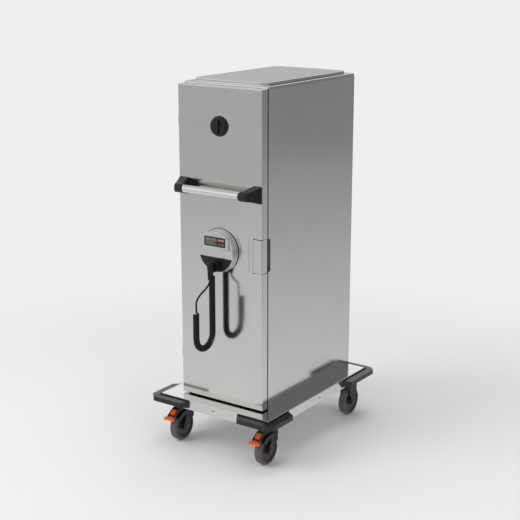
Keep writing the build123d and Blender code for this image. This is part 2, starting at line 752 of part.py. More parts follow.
def grip_backing():
    """Moulded block inside the door edge that carries the grip plate and shows black in its slits."""
    slope = GRIP_LEAN / (DOOR_T + GRIP_LIFT)
    edge = HALF_W - GRIP_T - RUN_GAP
    x0 = HALF_W - GRIP_W
    plan = make_face(Polyline(
        (x0, 0), (edge - slope * GRIP_LIFT, 0), (edge - slope * (GRIP_LIFT + DOOR_T), DOOR_T), (x0, DOOR_T),
        close=True))
    half = grip_plate_half() + GRIP_SLIT
    inside = Pos(0, DOOR_FRONT, GRIP_CENTRE - half) * extrude(plan, 2 * half)
    notch = grip_notch(grip_notch_left(), DOOR_FRONT, DOOR_BACK)
    return (backing_box() & door_box(SHEET, DOOR_BACK - SHEET)) - (notch - inside)


def grip_notch_left():
    return HALF_W - GRIP_LEAN - 2 * GRIP_EDGE_R


def door_bores(extra):
    """Holes through the door for the heater drum and the vent tube."""
    heater = rod_y(DOOR_FRONT, DOOR_BACK, 0, HEATER_CENTRE, DRUM_D + extra)
    return heater + rod_y(DOOR_FRONT, DOOR_BACK, 0, VENT_CENTRE, VENT_TUBE_D + extra)


def door_box(inset, back):
    """Box of the door with rounded corners and front edges, drawn in by inset."""
    half = HALF_W - inset
    box = block(-half, half, DOOR_FRONT + inset, back, DOOR_BOTTOM + inset, DOOR_TOP - inset)
    box = fillet(box.edges().filter_by(Axis.Y), DOOR_EDGE_R - inset)
    return fillet(box.faces().sort_by(Axis.Y)[0].edges(), DOOR_EDGE_R - inset)


def door_outer_skin():
    pan = door_box(0, DOOR_BACK) - door_box(SHEET, DOOR_BACK)
    pan -= grip_notch(grip_notch_left(), DOOR_FRONT, DOOR_BACK)
    pan -= grip_slits()
    return pan - door_bores(BORE_PLAY)


def door_inner_skin():
    sheet = door_box(SHEET, DOOR_BACK) - door_box(SHEET, DOOR_BACK - SHEET)
    sheet -= grip_notch(grip_notch_left(), DOOR_FRONT, DOOR_BACK)
    return sheet - door_bores(BORE_PLAY)


def door_insulation():
    return door_box(SHEET, DOOR_BACK - SHEET) - backing_box() - door_bores(BORE_PLAY)


def door_gasket():
    """Magnetic gasket on the back of the door, which closes on the front frame."""
    outer = HALF_W - FRONT_FLANGE - GASKET_INSET
    inner = outer - GASKET_W
    back = BODY_FRONT - GASKET_CLEAR
    low = PLATE_TOP + FRONT_FLANGE + GASKET_INSET
    high = SHELL_TOP - FRONT_FLANGE - GASKET_INSET
    ring = block(-outer, outer, DOOR_BACK, back, low, high)
    ring -= block(-inner, inner, DOOR_BACK, back, low + GASKET_W, high - GASKET_W)
    return ring


def door_grip():
    """Bowed stainless plate that wraps the door edge and slants back into the finger gap."""
    left = HALF_W - GRIP_W
    lift_from = left + GRIP_FLAT
    back_x = HALF_W - GRIP_LEAN
    outer = FilletPolyline(
        (lift_from, -GRIP_T), (HALF_W, -GRIP_T - GRIP_LIFT), (back_x, DOOR_T), radius=GRIP_EDGE_R)
    inner = FilletPolyline(
        (back_x - GRIP_T, DOOR_T), (HALF_W - GRIP_T, -GRIP_LIFT), (lift_from, 0),
        radius=GRIP_EDGE_R - GRIP_T)
    edges = outer.edges() + inner.edges()
    edges += Polyline((back_x, DOOR_T), (back_x - GRIP_T, DOOR_T)).edges()
    edges += Polyline((lift_from, 0), (left, 0), (left, -GRIP_T), (lift_from, -GRIP_T)).edges()
    plan = make_face(edges)
    half = grip_plate_half()
    plate = Pos(0, DOOR_FRONT, GRIP_CENTRE - half) * extrude(plan, 2 * half)
    crease_w, crease_deep = GRIP_CREASE
    crease_r = (crease_w / 2) ** 2 / (2 * crease_deep) + crease_deep / 2
    crease_y = DOOR_FRONT - GRIP_T + crease_deep - crease_r
    return plate - rod_z(GRIP_CENTRE - half, GRIP_CENTRE + half, lift_from, crease_y, 2 * crease_r)


# Lift-off hinges on the left edge
def hinge_axis():
    return -HALF_W - HINGE_OUT, DOOR_BACK + GASKET_GAP / 2


def hinge_levels():
    return DOOR_BOTTOM + HINGE_END, DOOR_TOP - HINGE_END


def hinge_leaf(z, on_door):
    """Leaf with its half of the knuckle: the door's half rides on top of the casing's half."""
    x, y = hinge_axis()
    reach, thick = HINGE_LEAF
    low = z + RUN_GAP if on_door else z - HINGE_KNUCKLE_H
    high = low + HINGE_KNUCKLE_H
    knuckle_r = HINGE_KNUCKLE_D / 2
    near = y - GASKET_GAP / 2 if on_door else y + GASKET_GAP / 2
    far = near - reach if on_door else near + reach
    y0, y1 = sorted((near, far))
    leaf = block(-HALF_W - thick, -HALF_W, y0, y1, low, high)
    inner = near - 2 * thick if on_door else near + 2 * thick
    a0, a1 = sorted((near, inner))
    leaf += block(x, -HALF_W - thick, a0, a1, low, high)
    leaf += rod_z(low, high, x, y, 2 * knuckle_r)
    other_side = 1 if on_door else -1
    swept = block(
        x + knuckle_r, -HALF_W, *sorted((y + other_side * RUN_GAP, y + other_side * reach)), low, high)
    leaf -= swept
    return leaf - rod_z(low, high, x, y, HINGE_PIN_D + 2 * RUNNING_FIT)


def hinge_pin(z):
    x, y = hinge_axis()
    half = HINGE_KNUCKLE_H - HINGE_PIN_SHORT
    return rod_z(z - half, z + half, x, y, HINGE_PIN_D)


# Push bar
def push_bar():
    end = BAR_HALF + NOSE_LENGTH - NOSE_WALL
    y = DOOR_FRONT - BAR_OUT
    bore = BAR_D - 2 * BAR_WALL
    return rod_x(-end, end, y, BAR_CENTRE, BAR_D) - rod_x(-end, end, y, BAR_CENTRE, bore)


def handle_bracket(side):
    """Moulding that leans out from the door to a round nose which holds the end of the bar."""
    nose_y = -BAR_OUT
    nose_r = NOSE_D / 2
    half = BRACKET_H / 2
    slope = asin((half - nose_r) / BAR_OUT)
    touch_y = nose_y + nose_r * sin(slope)
    touch_z = nose_r * cos(slope)
    flank = make_face(Polyline((0, half), (touch_y, touch_z), (touch_y, -touch_z), (0, -half), close=True))
    flank += Pos(nose_y, 0) * Circle(nose_r)
    reach = BRACKET_BASE[1] + NOSE_LENGTH
    side_on = extrude(Plane.YZ * flank, reach, dir=(1, 0, 0), both=True)
    front = -BAR_OUT - nose_r
    plan = make_face(Polyline(
        (side * BRACKET_BASE[0], 0),
        (side * BRACKET_BASE[1], 0),
        (side * (BAR_HALF + NOSE_LENGTH), front),
        (side * BAR_HALF, front),
        close=True,
    ))
    moulding = side_on & Pos(0, 0, -half) * extrude(plan, BRACKET_H)
    away = [e for e in moulding.edges() if e.center().Y < -BRACKET_EDGE_R]
    moulding = fillet(away, BRACKET_EDGE_R)
    end = side * (BAR_HALF + NOSE_LENGTH - NOSE_WALL)
    x0, x1 = sorted((0, end))
    moulding -= rod_x(x0, x1, nose_y, 0, BAR_D + 2 * RUNNING_FIT)
    return Pos(0, DOOR_FRONT, BAR_CENTRE) * moulding


# Rotary vent
def vent_port():
    """Tube through the door with a front flange and a cross that carries the knob's spindle."""
    tube_r = VENT_TUBE_D / 2
    wall = 2 * SHEET
    port = turned_y([
        (tube_r - wall, -VENT_FLANGE_T),
        (VENT_FLANGE_D / 2, -VENT_FLANGE_T),
        (VENT_FLANGE_D / 2, 0),
        (tube_r, 0),
        (tube_r, DOOR_T),
        (tube_r - wall, DOOR_T),
    ], VENT_CENTRE)
    arm = 2 * SHEET
    y0 = DOOR_FRONT - VENT_FLANGE_T
    y1 = DOOR_FRONT + DOOR_T / 2
    z = VENT_CENTRE
    inside = tube_r - wall / 2
    port += block(-inside, inside, y0, y1, z - arm, z + arm)
    port += block(-arm, arm, y0, y1, z - inside, z + inside)
    port += rod_y(y0, y1, 0, z, VENT_SPINDLE_D + 4 * arm)
    return port - rod_y(y0, y1, 0, z, VENT_SPINDLE_D + 2 * RUNNING_FIT)


def vent_knob():
    """Turning cover with an upright slot and a quarter window beside it."""
    gap = RUN_GAP
    base = -VENT_FLANGE_T - gap
    disc = turned_y([
        (0, base),
        (VENT_FLANGE_D / 2 + 2 * gap, base),
        (VENT_FLANGE_D / 2 + 2 * gap, -gap),
        (VENT_KNOB_D / 2, -gap),
        (VENT_KNOB_D / 2, -VENT_SKIRT),
        (VENT_FACE_D / 2, -VENT_OUT),
        (0, -VENT_OUT),
    ], VENT_CENTRE)
    corner = Pos(VENT_SLOT_RIGHT + VENT_WINDOW_R, -VENT_SLOT_RIGHT - VENT_WINDOW_R)
    window = Circle(VENT_WINDOW_R) & corner * Rectangle(2 * VENT_WINDOW_R, 2 * VENT_WINDOW_R)
    slot = Pos(VENT_SLOT_RIGHT + VENT_SLOT[0] / 2, 0) * Rectangle(*VENT_SLOT)
    front = Plane(origin=(0, DOOR_FRONT - VENT_OUT, VENT_CENTRE), x_dir=(1, 0, 0), z_dir=(0, 1, 0))
    disc -= extrude(front * (window + slot), VENT_RECESS_DEPTH)
    spindle_end = DOOR_FRONT + DOOR_T / 2
    disc += rod_y(DOOR_FRONT + base, spindle_end, 0, VENT_CENTRE, VENT_SPINDLE_D)
    return disc


def vent_inner_grille():
    r = VENT_FLANGE_D / 2
    plate = turned_y([(0, DOOR_T), (r, DOOR_T), (r, DOOR_T + GUARD_T), (0, DOOR_T + GUARD_T)], VENT_CENTRE)
    ring = VENT_TUBE_D / 4
    for i in range(VENT_HOLES):
        turn = 2 * pi * i / VENT_HOLES
        plate -= rod_y(
            DOOR_BACK, DOOR_BACK + GUARD_T, ring * cos(turn), VENT_CENTRE + ring * sin(turn), ring * 0.8)
    return plate


# Heater unit
def heater_seal():
    outer = SEAL_D / 2
    inner = BEZEL_D / 2 - BEZEL_WALL
    return turned_y([
        (inner, -SEAL_T),
        (outer - SEAL_CHAMFER, -SEAL_T),
        (outer, SEAL_CHAMFER - SEAL_T),
        (outer, 0),
        (inner, 0),
    ], HEATER_CENTRE)


def holder_segment(radius, chord_z, y0, y1):
    """Part of a disc about the heater axis below a level chord."""
    disc = rod_y(DOOR_FRONT + y0, DOOR_FRONT + y1, 0, HEATER_CENTRE, 2 * radius)
    return disc & block(
        -radius, radius, DOOR_FRONT + y0, DOOR_FRONT + y1, HEATER_CENTRE - radius, chord_z)


def display_pocket(grow, y0, y1):
    z = HEATER_CENTRE + DISPLAY_UP
    half_w = DISPLAY[0] / 2 + grow
    half_h = DISPLAY[1] / 2 + grow
    pane = block(-half_w, half_w, DOOR_FRONT + y0, DOOR_FRONT + y1, z - half_h, z + half_h)
    return fillet(pane.edges().filter_by(Axis.Y), DISPLAY_CORNER_R + grow)


def heater_bezel():
    """Silver housing: a round barrel with a raised display module above the black holder."""
    base_r = BEZEL_D / 2
    face_r = FACE_D / 2
    barrel = turned_y([
        (0, -FACE_OUT),
        (face_r, -FACE_OUT),
        (base_r, -SEAL_T),
        (base_r - BEZEL_WALL, -SEAL_T),
        (face_r - 2 * BEZEL_WALL, -FACE_OUT + HOLDER_T + BEZEL_WALL),
        (0, -FACE_OUT + HOLDER_T + BEZEL_WALL),
    ], HEATER_CENTRE)
    rim = barrel.edges().filter_by(GeomType.CIRCLE).sort_by(Axis.Y)[0]
    barrel = fillet(rim, BEZEL_EDGE_R)
    half = MODULE_W / 2
    front = DOOR_FRONT - MODULE_OUT
    foot = HEATER_CENTRE + MODULE_FOOT_UP
    module = rod_y(front, DOOR_FRONT - FACE_OUT / 2, 0, HEATER_CENTRE, FACE_D - BEZEL_WALL)
    module &= block(-half, half, front, DOOR_FRONT, foot, HEATER_CENTRE + face_r)
    module = fillet(module.faces().sort_by(Axis.Y)[0].edges(), MODULE_EDGE_R)
    barrel += module
    barrel -= display_pocket(0, -MODULE_OUT, -MODULE_OUT + DISPLAY_T)
    chord = HEATER_CENTRE - HOLDER_CHORD_DROP
    barrel -= holder_segment(face_r - HOLDER_RIM, chord, -FACE_OUT, -FACE_OUT + HOLDER_T)
    back = DOOR_FRONT - FACE_OUT + HOLDER_T
    barrel -= rod_y(back, back + BEZEL_WALL, 0, COLLAR_CENTRE, PIN_WELL_D + 2 * RUN_GAP)
    return barrel - gland_foot(RUN_GAP)


def display_window():
    return display_pocket(-RUN_GAP, -MODULE_OUT + RUN_GAP, -MODULE_OUT + DISPLAY_T)


def plug_pin_places():
    return -PLUG_PIN_SPACING / 2, PLUG_PIN_SPACING / 2


def gland_foot(grow):
    """Foot under the holder through which the cord leaves the unit."""
    x, y, z = gland_place()
    half = GLAND_D / 2 + grow
    back = DOOR_FRONT - FACE_OUT + HOLDER_T / 2
    foot = block(x - half, x + half, y, back + grow, z + RUN_GAP - grow, z + GLAND_D)
    return foot + rod_z(z - grow, z + GLAND_D, x, y, 2 * half)


def plug_holder():
    """Black lower part of the face with a collar that parks the plug and a foot for the cord."""
    face_r = FACE_D / 2 - HOLDER_RIM
    chord = HEATER_CENTRE - HOLDER_CHORD_DROP - RUN_GAP
    holder = holder_segment(face_r, chord, -FACE_OUT, -FACE_OUT + HOLDER_T)
    front = DOOR_FRONT - FACE_OUT
    collar = rod_y(DOOR_FRONT - COLLAR_OUT, front + HOLDER_T / 2, 0, COLLAR_CENTRE, COLLAR_D)
    collar = fillet(collar.faces().sort_by(Axis.Y)[0].edges(), COLLAR_EDGE_R)
    holder += collar
    holder -= rod_y(DOOR_FRONT - COLLAR_OUT, front, 0, COLLAR_CENTRE, COLLAR_D - 2 * COLLAR_WALL)
    deep = front + PLUG_PIN_LENGTH + 2 * RUN_GAP
    holder += rod_y(front, deep + BEZEL_WALL, 0, COLLAR_CENTRE, PIN_WELL_D)
    holder += gland_foot(0)
    for x in plug_pin_places():
        holder -= rod_y(front, deep, x, COLLAR_CENTRE, PLUG_PIN_D + 2 * RUN_GAP)
    return holder


def heater_drum():
    """Can through the door that holds the motor, the fan and the element; its open end faces the food."""
    r = DRUM_D / 2
    wall = DRUM_WALL
    return turned_y([
        (0, 0), (r, 0), (r, DRUM_DEPTH), (r - wall, DRUM_DEPTH), (r - wall, wall), (0, wall),
    ], HEATER_CENTRE)


def fan_motor():
    y0 = DOOR_FRONT + DRUM_WALL
    y1 = y0 + MOTOR_DEPTH
    motor = rod_y(y0, y1, 0, HEATER_CENTRE, MOTOR_D)
    motor = fillet(motor.faces().sort_by(Axis.Y)[-1].edges(), MOTOR_EDGE_R)
    return motor - rod_y(y1 - MOTOR_DEPTH / 2, y1, 0, HEATER_CENTRE, FAN_SHAFT_D + 2 * RUNNING_FIT)


def fan_impeller():
    """Shaft, hub, back disc and straight radial blades."""
    motor_end = DOOR_FRONT + DRUM_WALL + MOTOR_DEPTH
    shaft_start = motor_end - MOTOR_DEPTH / 2 + RUN_GAP
    disc_y = motor_end + FAN_CLEAR
    tip = DOOR_FRONT + DRUM_DEPTH - FAN_CLEAR
    wheel = rod_y(shaft_start, tip, 0, HEATER_CENTRE, FAN_SHAFT_D)
    wheel += rod_y(disc_y, tip, 0, HEATER_CENTRE, FAN_HUB_D)
    wheel += rod_y(disc_y, disc_y + SHEET, 0, HEATER_CENTRE, FAN_D)
    for i in range(FAN_BLADES):
        blade = block(FAN_HUB_D / 4, FAN_D / 2, disc_y, tip, -SHEET / 2, SHEET / 2)
        wheel += Pos(0, 0, HEATER_CENTRE) * Rot(0, 360 * i / FAN_BLADES, 0) * blade
    return wheel


def heating_element():
    """Ring of heater tube round the fan, with two legs to the back of the drum."""
    r = ELEMENT_RING_D / 2
    y = DOOR_FRONT + (DRUM_DEPTH + MOTOR_DEPTH) / 2
    gap = 2 * ELEMENT_D / r
    start = (r * sin(gap / 2), y, HEATER_CENTRE - r * cos(gap / 2))
    end = (-start[0], y, start[2])
    ring = ThreePointArc(start, (0, y, HEATER_CENTRE + r), end)
    section = Plane(origin=start, z_dir=ring.tangent_at(0)) * Circle(ELEMENT_D / 2)
    element = sweep(section, ring)
    for x, _, z in (start, end):
        element += rod_y(DOOR_FRONT + DRUM_WALL, y, x, z, ELEMENT_D)
        element += Pos(x, y, z) * Sphere(ELEMENT_D / 2)
    return element


def fan_guard():
    """Slotted disc over the open end of the drum."""
    r = DRUM_D / 2
    y0 = DOOR_FRONT + DRUM_DEPTH
    guard = rod_y(y0, y0 + GUARD_T, 0, HEATER_CENTRE, 2 * r)
    for i in range(GUARD_SLOTS):
        slot = block(GUARD_HUB_D / 2, r - GUARD_RIM, y0, y0 + GUARD_T, -GUARD_SLOT_W / 2, GUARD_SLOT_W / 2)
        guard -= Pos(0, 0, HEATER_CENTRE) * Rot(0, 360 * i / GUARD_SLOTS, 0) * slot
    return guard


def mains_plug():
    """Angled plug parked in the collar: a round head, a stem and an upright body that tapers to the cord."""
    front = DOOR_FRONT - FACE_OUT
    y = DOOR_FRONT - NECK_OUT
    plug = rod_y(front - PLUG_HEAD_T, front, 0, COLLAR_CENTRE, PLUG_HEAD_D)
    plug += rod_y(y, front, 0, COLLAR_CENTRE, PLUG_STEM_D)
    top_r = NECK_D / 2
    drop = NECK_END_DROP - COLLAR_DROP
    outline = make_face(Polyline(
        (0, NECK_TOP_RISE), (top_r, NECK_TOP_RISE), (top_r, -NECK_TOP_RISE / 4),
        (NECK_WAIST_D / 2, -drop / 2), (NECK_END_D / 2, -drop), (0, -drop), close=True))
    neck = revolve(Plane.XZ * outline, Axis.Z)
    neck = fillet(neck.faces().sort_by(Axis.Z)[-1].edges(), top_r / 2)
    plug += Pos(0, y, COLLAR_CENTRE) * neck
    for x in plug_pin_places():
        plug += rod_y(front, front + PLUG_PIN_LENGTH, x, COLLAR_CENTRE, PLUG_PIN_D)
    return plug


# Curly cord: a helix wound about an axis that hangs down, turns back up and ends below the plug
def coil_axis(s):
    """Point and direction of the coil's axis at a length s along it, in the plane x = COIL_X."""
    long_arm = COIL_BEND_DROP - COIL_TOP_DROP
    bend = pi * COIL_BEND_R
    y = DOOR_FRONT - COIL_ARM_OUT
    top = HEATER_CENTRE - COIL_TOP_DROP
    bend_z = HEATER_CENTRE - COIL_BEND_DROP
    if s < long_arm:
        return Vector(COIL_X, y, top - s), Vector(0, 0, -1)
    if s < long_arm + bend:
        turn = (s - long_arm) / COIL_BEND_R
        point = Vector(COIL_X, y - COIL_BEND_R * (1 - cos(turn)), bend_z - COIL_BEND_R * sin(turn))
        return point, Vector(0, -sin(turn), -cos(turn))
    return Vector(COIL_X, y - 2 * COIL_BEND_R, bend_z + s - long_arm - bend), Vector(0, 0, 1)


def coil_lengths():
    long_arm = COIL_BEND_DROP - COIL_TOP_DROP
    bend = pi * COIL_BEND_R
    short_arm = COIL_BEND_DROP - COIL_END_DROP
    return long_arm, bend, short_arm


def coil_turns():
    """Turns in each stretch, stretched a little so that the coil ends half a turn from where it began."""
    long_arm, bend, short_arm = coil_lengths()
    turns = [long_arm / COIL_ARM_PITCH, bend / COIL_BEND_PITCH, short_arm / COIL_ARM_PITCH]
    whole = floor(sum(turns)) - 0.5
    return [t * whole / sum(turns) for t in turns]


def coil_point(turn):
    """Centre of the cord after a number of turns."""
    lengths = coil_lengths()
    turns = coil_turns()
    s = 0
    left = turn
    for length, count in zip(lengths, turns):
        step = min(max(left, 0), count)
        s += length * step / count
        left -= count
    s += max(left, 0) * COIL_ARM_PITCH + min(turn, 0) * COIL_ARM_PITCH
    centre, along = coil_axis(s)
    sideways = Vector(1, 0, 0)
    outward = along.cross(sideways) * -1
    return centre + (outward * cos(2 * pi * turn) + sideways * sin(2 * pi * turn)) * COIL_R


def coil_tangent(turn):
    step = COIL_TANGENT_STEP
    return (coil_point(turn + step) - coil_point(turn - step)).normalized()


def gland_place():
    """Middle of the gland's lower face, straight above the start of the cord."""
    start = coil_point(0)
    side, rise = COIL_LEAD
    return start.X - side, start.Y, start.Z + rise + CORD_D


def two_arcs(p0, t0, p1, t1):
    """Pair of arcs from p0 along t0 to p1 along t1."""
    v = p1 - p0
    a = 2 * (1 - t0.dot(t1))
    b = 2 * v.dot(t0 + t1)
    c = -v.dot(v)
    d = (-b + sqrt(b * b - 4 * a * c)) / (2 * a)
    middle = (p0 + p1 + (t0 - t1) * d) * 0.5
    across_middle = (p1 - t1 * d) - (p0 + t0 * d)
    first = Edge.make_tangent_arc(p0, t0, middle)
    second = Edge.make_tangent_arc(middle, across_middle.normalized(), p1)
    return [first, second]


def cord_section(point, direction):
    return Plane(origin=point, z_dir=direction) * RegularPolygon(CORD_D / 2, CORD_SIDES)


def coil_stops():
    total = sum(coil_turns())
    count = ceil(total * COIL_STEPS)
    return [total * i / count for i in range(count + 1)]


def coil_end():
    """Where the coil hands over to the tail: above the last turn, pointing up."""
    total = sum(coil_turns())
    side, rise = COIL_LEAD
    last = coil_point(total)
    along = coil_tangent(total)
    turned = -side if along.X < 0 else side
    return last + Vector(turned, 0, rise)


def mains_cord_coil():
    down = Vector(0, 0, -1)
    up = Vector(0, 0, 1)
    gland = Vector(*gland_place())
    side, rise = COIL_LEAD
    start = coil_point(0)
    lead = start + Vector(-side, 0, rise)
    stops = coil_stops()
    edges = [Edge.make_line(gland, lead)]
    edges += two_arcs(lead, down, start, coil_tangent(0))
    for t0, t1 in zip(stops, stops[1:]):
        edges += two_arcs(coil_point(t0), coil_tangent(t0), coil_point(t1), coil_tangent(t1))
    leave = coil_end()
    edges += two_arcs(coil_point(stops[-1]), coil_tangent(stops[-1]), leave, up)
    edges.append(Edge.make_line(leave, leave + up * CORD_D))
    report_coil_gap(stops[-1])
    return sweep(cord_section(gland, down), Wire(edges), clean=False)


def report_coil_gap(total):
    """Least gap of the coil to itself, between points more than half a turn apart."""
    per_turn = 24
    points = [coil_point(i / per_turn) for i in range(int(total * per_turn) + 1)]
    least = 1e9
    for i, p in enumerate(points):
        for q in points[i + per_turn // 2 + 4:i + 2 * per_turn]:
            least = min(least, (p - q).length)
    print("coil turns", round(total, 1), "least gap to itself", round(least - CORD_D, 2))


# Tail of the cord: straight up from the short arm, across towards the door, and up into the kink guard
def tail_points():
    start = coil_end() + Vector(0, 0, CORD_D)
    end = Vector(0, DOOR_FRONT - NECK_OUT, HEATER_CENTRE - NECK_END_DROP)
    return [start, start + Vector(0, 0, TAIL_RISE), end - Vector(0, 0, TAIL_FALL), end]


def bend_radii(points):
    """Large fillets: each takes most of the shorter run beside it."""
    radii = []
    for a, b, c in zip(points, points[1:], points[2:]):
        turn = radians((b - a).get_angle(c - b))
        radii.append(0.45 * min((b - a).length, (c - b).length) / tan(turn / 2))
    return radii


def mains_cord_tail():
    points = tail_points()
    radii = bend_radii(points)
    print("tail bend radii", [round(r) for r in radii])
    route = FilletPolyline(*points, radius=radii)
    return sweep(cord_section(points[0], points[1] - points[0]), route)


# Write every node
save("base_plate", base_plate())
save("skirt_inserts", *skirt_inserts())
save("castor_channels", castor_channel(SWIVEL_Y), castor_channel(REAR_AXLE_Y))
for row, y_sign, y_arm in (("front", -1, BUMPER_FRONT_ARM), ("rear", 1, BUMPER_REAR_ARM)):
    corner = bumper(y_arm)
    if y_sign > 0:
        corner = mirror(corner, Plane.XZ)
    right = Pos(PLATE_W / 2, y_sign * PLATE_D / 2, PLATE_TOP) * corner
    save("bumper_" + row + "_right", right)
    save("bumper_" + row + "_left", mirror(right, Plane.YZ))
plates = []
bolts = []
for row_y, swivels in ((SWIVEL_Y, True), (REAR_AXLE_Y, False)):
    plates += [castor_plate(x, row_y, swivels) for x in (-CASTOR_X, CASTOR_X)]
    bolts += [castor_bolt(x, y) for x, y in bolt_places(row_y)]
save("castor_plates", *plates)
save("castor_bolts", *bolts)
for side_name, x in (("left", -CASTOR_X), ("right", CASTOR_X)):
    save("front_fork_" + side_name, front_fork(x))
    save("brake_pedal_" + side_name, brake_pedal(x))
    save("axle_front_" + side_name, axle(x, FRONT_AXLE_Y))
    for row, axle_y in (("front", FRONT_AXLE_Y), ("rear", REAR_AXLE_Y)):
        save("wheel_core_" + row + "_" + side_name, wheel_core(x, axle_y))
        save("tyre_" + row + "_" + side_name, tyre(x, axle_y))
save("rear_forks", rear_fork(-CASTOR_X), rear_fork(CASTOR_X))
save("rear_axles", axle(-CASTOR_X, REAR_AXLE_Y), axle(CASTOR_X, REAR_AXLE_Y))
save("outer_shell", outer_shell())
save("inner_liner", inner_liner())
save("body_insulation", body_insulation())
save("front_frame", front_frame())
save("finger_cup", finger_cup())
save("top_lid", top_lid())
save("runner_rails_left", *runner_rails(-1))
save("runner_rails_right", *runner_rails(1))
save("door_outer_skin", door_outer_skin())
save("door_inner_skin", door_inner_skin())
save("door_insulation", door_insulation())
save("door_gasket", door_gasket())
save("door_grip", door_grip())
save("grip_backing", grip_backing())
save("hinge_body_leaves", *[hinge_leaf(z, False) for z in hinge_levels()])
save("hinge_door_leaves", *[hinge_leaf(z, True) for z in hinge_levels()])
save("hinge_pins", *[hinge_pin(z) for z in hinge_levels()])
save("push_bar", push_bar())
save("handle_bracket_left", handle_bracket(-1))
save("handle_bracket_right", handle_bracket(1))
save("vent_port", vent_port())
save("vent_knob", vent_knob())
save("vent_inner_grille", vent_inner_grille())
save("heater_seal", heater_seal())
save("heater_bezel", heater_bezel())
save("display_window", display_window())
save("plug_holder", plug_holder())
save("heater_drum", heater_drum())
save("fan_motor", fan_motor())
save("fan_impeller", fan_impeller())
save("heating_element", heating_element())
save("fan_guard", fan_guard())
save("mains_plug", mains_plug())
save("mains_cord_coil", mains_cord_coil())
save("mains_cord_tail", mains_cord_tail())
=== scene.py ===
from math import cos, pi, radians, sin

import bmesh
import bpy
from mathutils import Matrix, Vector


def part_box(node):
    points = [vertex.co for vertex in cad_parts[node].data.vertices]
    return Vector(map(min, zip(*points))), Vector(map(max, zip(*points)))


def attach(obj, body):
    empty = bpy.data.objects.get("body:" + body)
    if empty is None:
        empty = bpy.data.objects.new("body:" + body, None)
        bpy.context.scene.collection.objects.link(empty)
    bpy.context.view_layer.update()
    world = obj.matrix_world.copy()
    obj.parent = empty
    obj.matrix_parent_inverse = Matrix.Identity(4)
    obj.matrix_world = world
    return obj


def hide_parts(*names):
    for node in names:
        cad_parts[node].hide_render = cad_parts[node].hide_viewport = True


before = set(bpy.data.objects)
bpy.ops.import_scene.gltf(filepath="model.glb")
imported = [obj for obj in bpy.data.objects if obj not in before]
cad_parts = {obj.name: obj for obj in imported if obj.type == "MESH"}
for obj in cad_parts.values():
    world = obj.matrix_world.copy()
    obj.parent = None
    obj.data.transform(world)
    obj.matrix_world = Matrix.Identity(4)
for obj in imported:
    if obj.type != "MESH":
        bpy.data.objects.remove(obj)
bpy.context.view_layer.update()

# Camera: a long lens to the right of the front and a little above the lid.
# Its place, height and focal length come from the edges of the cabinet in the photograph.
CAMERA_PLACE = (2.69775, -3.8944, 2.02257)
CAMERA_AZIMUTH = 35.027
CAMERA_ELEVATION = 14.924
CAMERA_LENS = 79.70
SENSOR_WIDTH = 36
FARTHEST_SEEN = 200
camera_data = bpy.data.cameras.new("camera")
camera_data.sensor_width = SENSOR_WIDTH
camera_data.lens = CAMERA_LENS
camera_data.clip_end = FARTHEST_SEEN
camera = bpy.data.objects.new("camera", camera_data)
bpy.context.collection.objects.link(camera)
azimuth = radians(CAMERA_AZIMUTH)
elevation = radians(CAMERA_ELEVATION)
backward = Vector((sin(azimuth) * cos(elevation), -cos(azimuth) * cos(elevation), sin(elevation)))
rightward = Vector((cos(azimuth), sin(azimuth), 0))
upward = backward.cross(rightward)
facing = Matrix((rightward, upward, backward)).transposed()
camera.matrix_world = Matrix.Translation(CAMERA_PLACE) @ facing.to_4x4()
bpy.context.scene.camera = camera
bpy.context.scene.view_settings.view_transform = "Standard"

# Surround: a soft studio, brighter towards the front left than towards the back right, with a pale screen
# at the back left. The steel mirrors it, so its shades set how the lid and the folded edges look.
Z_AXIS = (0, 0, 1)
FRONT_LEFT = (-0.57, -0.82, 0)
BACK_LEFT = (-0.57, 0.82, 0)
STUDIO_SHADES = [
    (0.0, 0.16), (0.06, 0.22), (0.15, 0.47), (0.36, 0.49), (0.70, 0.55), (0.82, 0.77), (1.0, 0.95),
]
SCREEN_SIDES = [(0.62, 0.0), (0.86, 1.0)]
SCREEN_RISE = [(0.17, 0.0), (0.30, 1.0), (0.50, 1.0), (0.75, 0.0)]
SCREEN_GAIN = 0.55
BACKDROP = (0.86, 0.86, 0.855, 1)


def link(source, target):
    source.id_data.links.new(source, target)


def feed(value, socket):
    """Link a socket to its source, or set a plain value on it."""
    if isinstance(value, bpy.types.NodeSocket):
        link(value, socket)
    else:
        socket.default_value = value


def calculate(operation, a, b=0.0, c=0.0):
    """Math node on sockets and numbers; at least the first value is a socket."""
    node = a.id_data.nodes.new("ShaderNodeMath")
    node.operation = operation
    for socket, value in zip(node.inputs, (a, b, c)):
        feed(value, socket)
    return node.outputs[0]


def unit_range(value, reach):
    """Bring a value between minus and plus reach to between 0 and 1."""
    return calculate("MULTIPLY_ADD", value, 0.5 / reach, 0.5)


def component(vector, direction):
    """How far a vector reaches along a direction."""
    node = vector.id_data.nodes.new("ShaderNodeVectorMath")
    node.operation = "DOT_PRODUCT"
    link(vector, node.inputs[0])
    node.inputs[1].default_value = direction
    return node.outputs["Value"]


def ramp(factor, stops):
    """Colour ramp through (position, grey or colour) stops."""
    node = factor.id_data.nodes.new("ShaderNodeValToRGB")
    band = node.color_ramp
    while len(band.elements) < len(stops):
        band.elements.new(1)
    for element, (place, shade) in zip(band.elements, stops):
        element.position = place
        element.color = (*shade, 1) if isinstance(shade, tuple) else (shade, shade, shade, 1)
    link(factor, node.inputs["Fac"])
    return node.outputs["Color"]


def mix(factor, first, second, blend="MIX"):
    """Mix of two colours; the first is a socket, the factor and the second may be plain values."""
    node = first.id_data.nodes.new("ShaderNodeMixRGB")
    node.blend_type = blend
    for title, value in (("Fac", factor), ("Color1", first), ("Color2", second)):
        feed(value, node.inputs[title])
    return node.outputs["Color"]


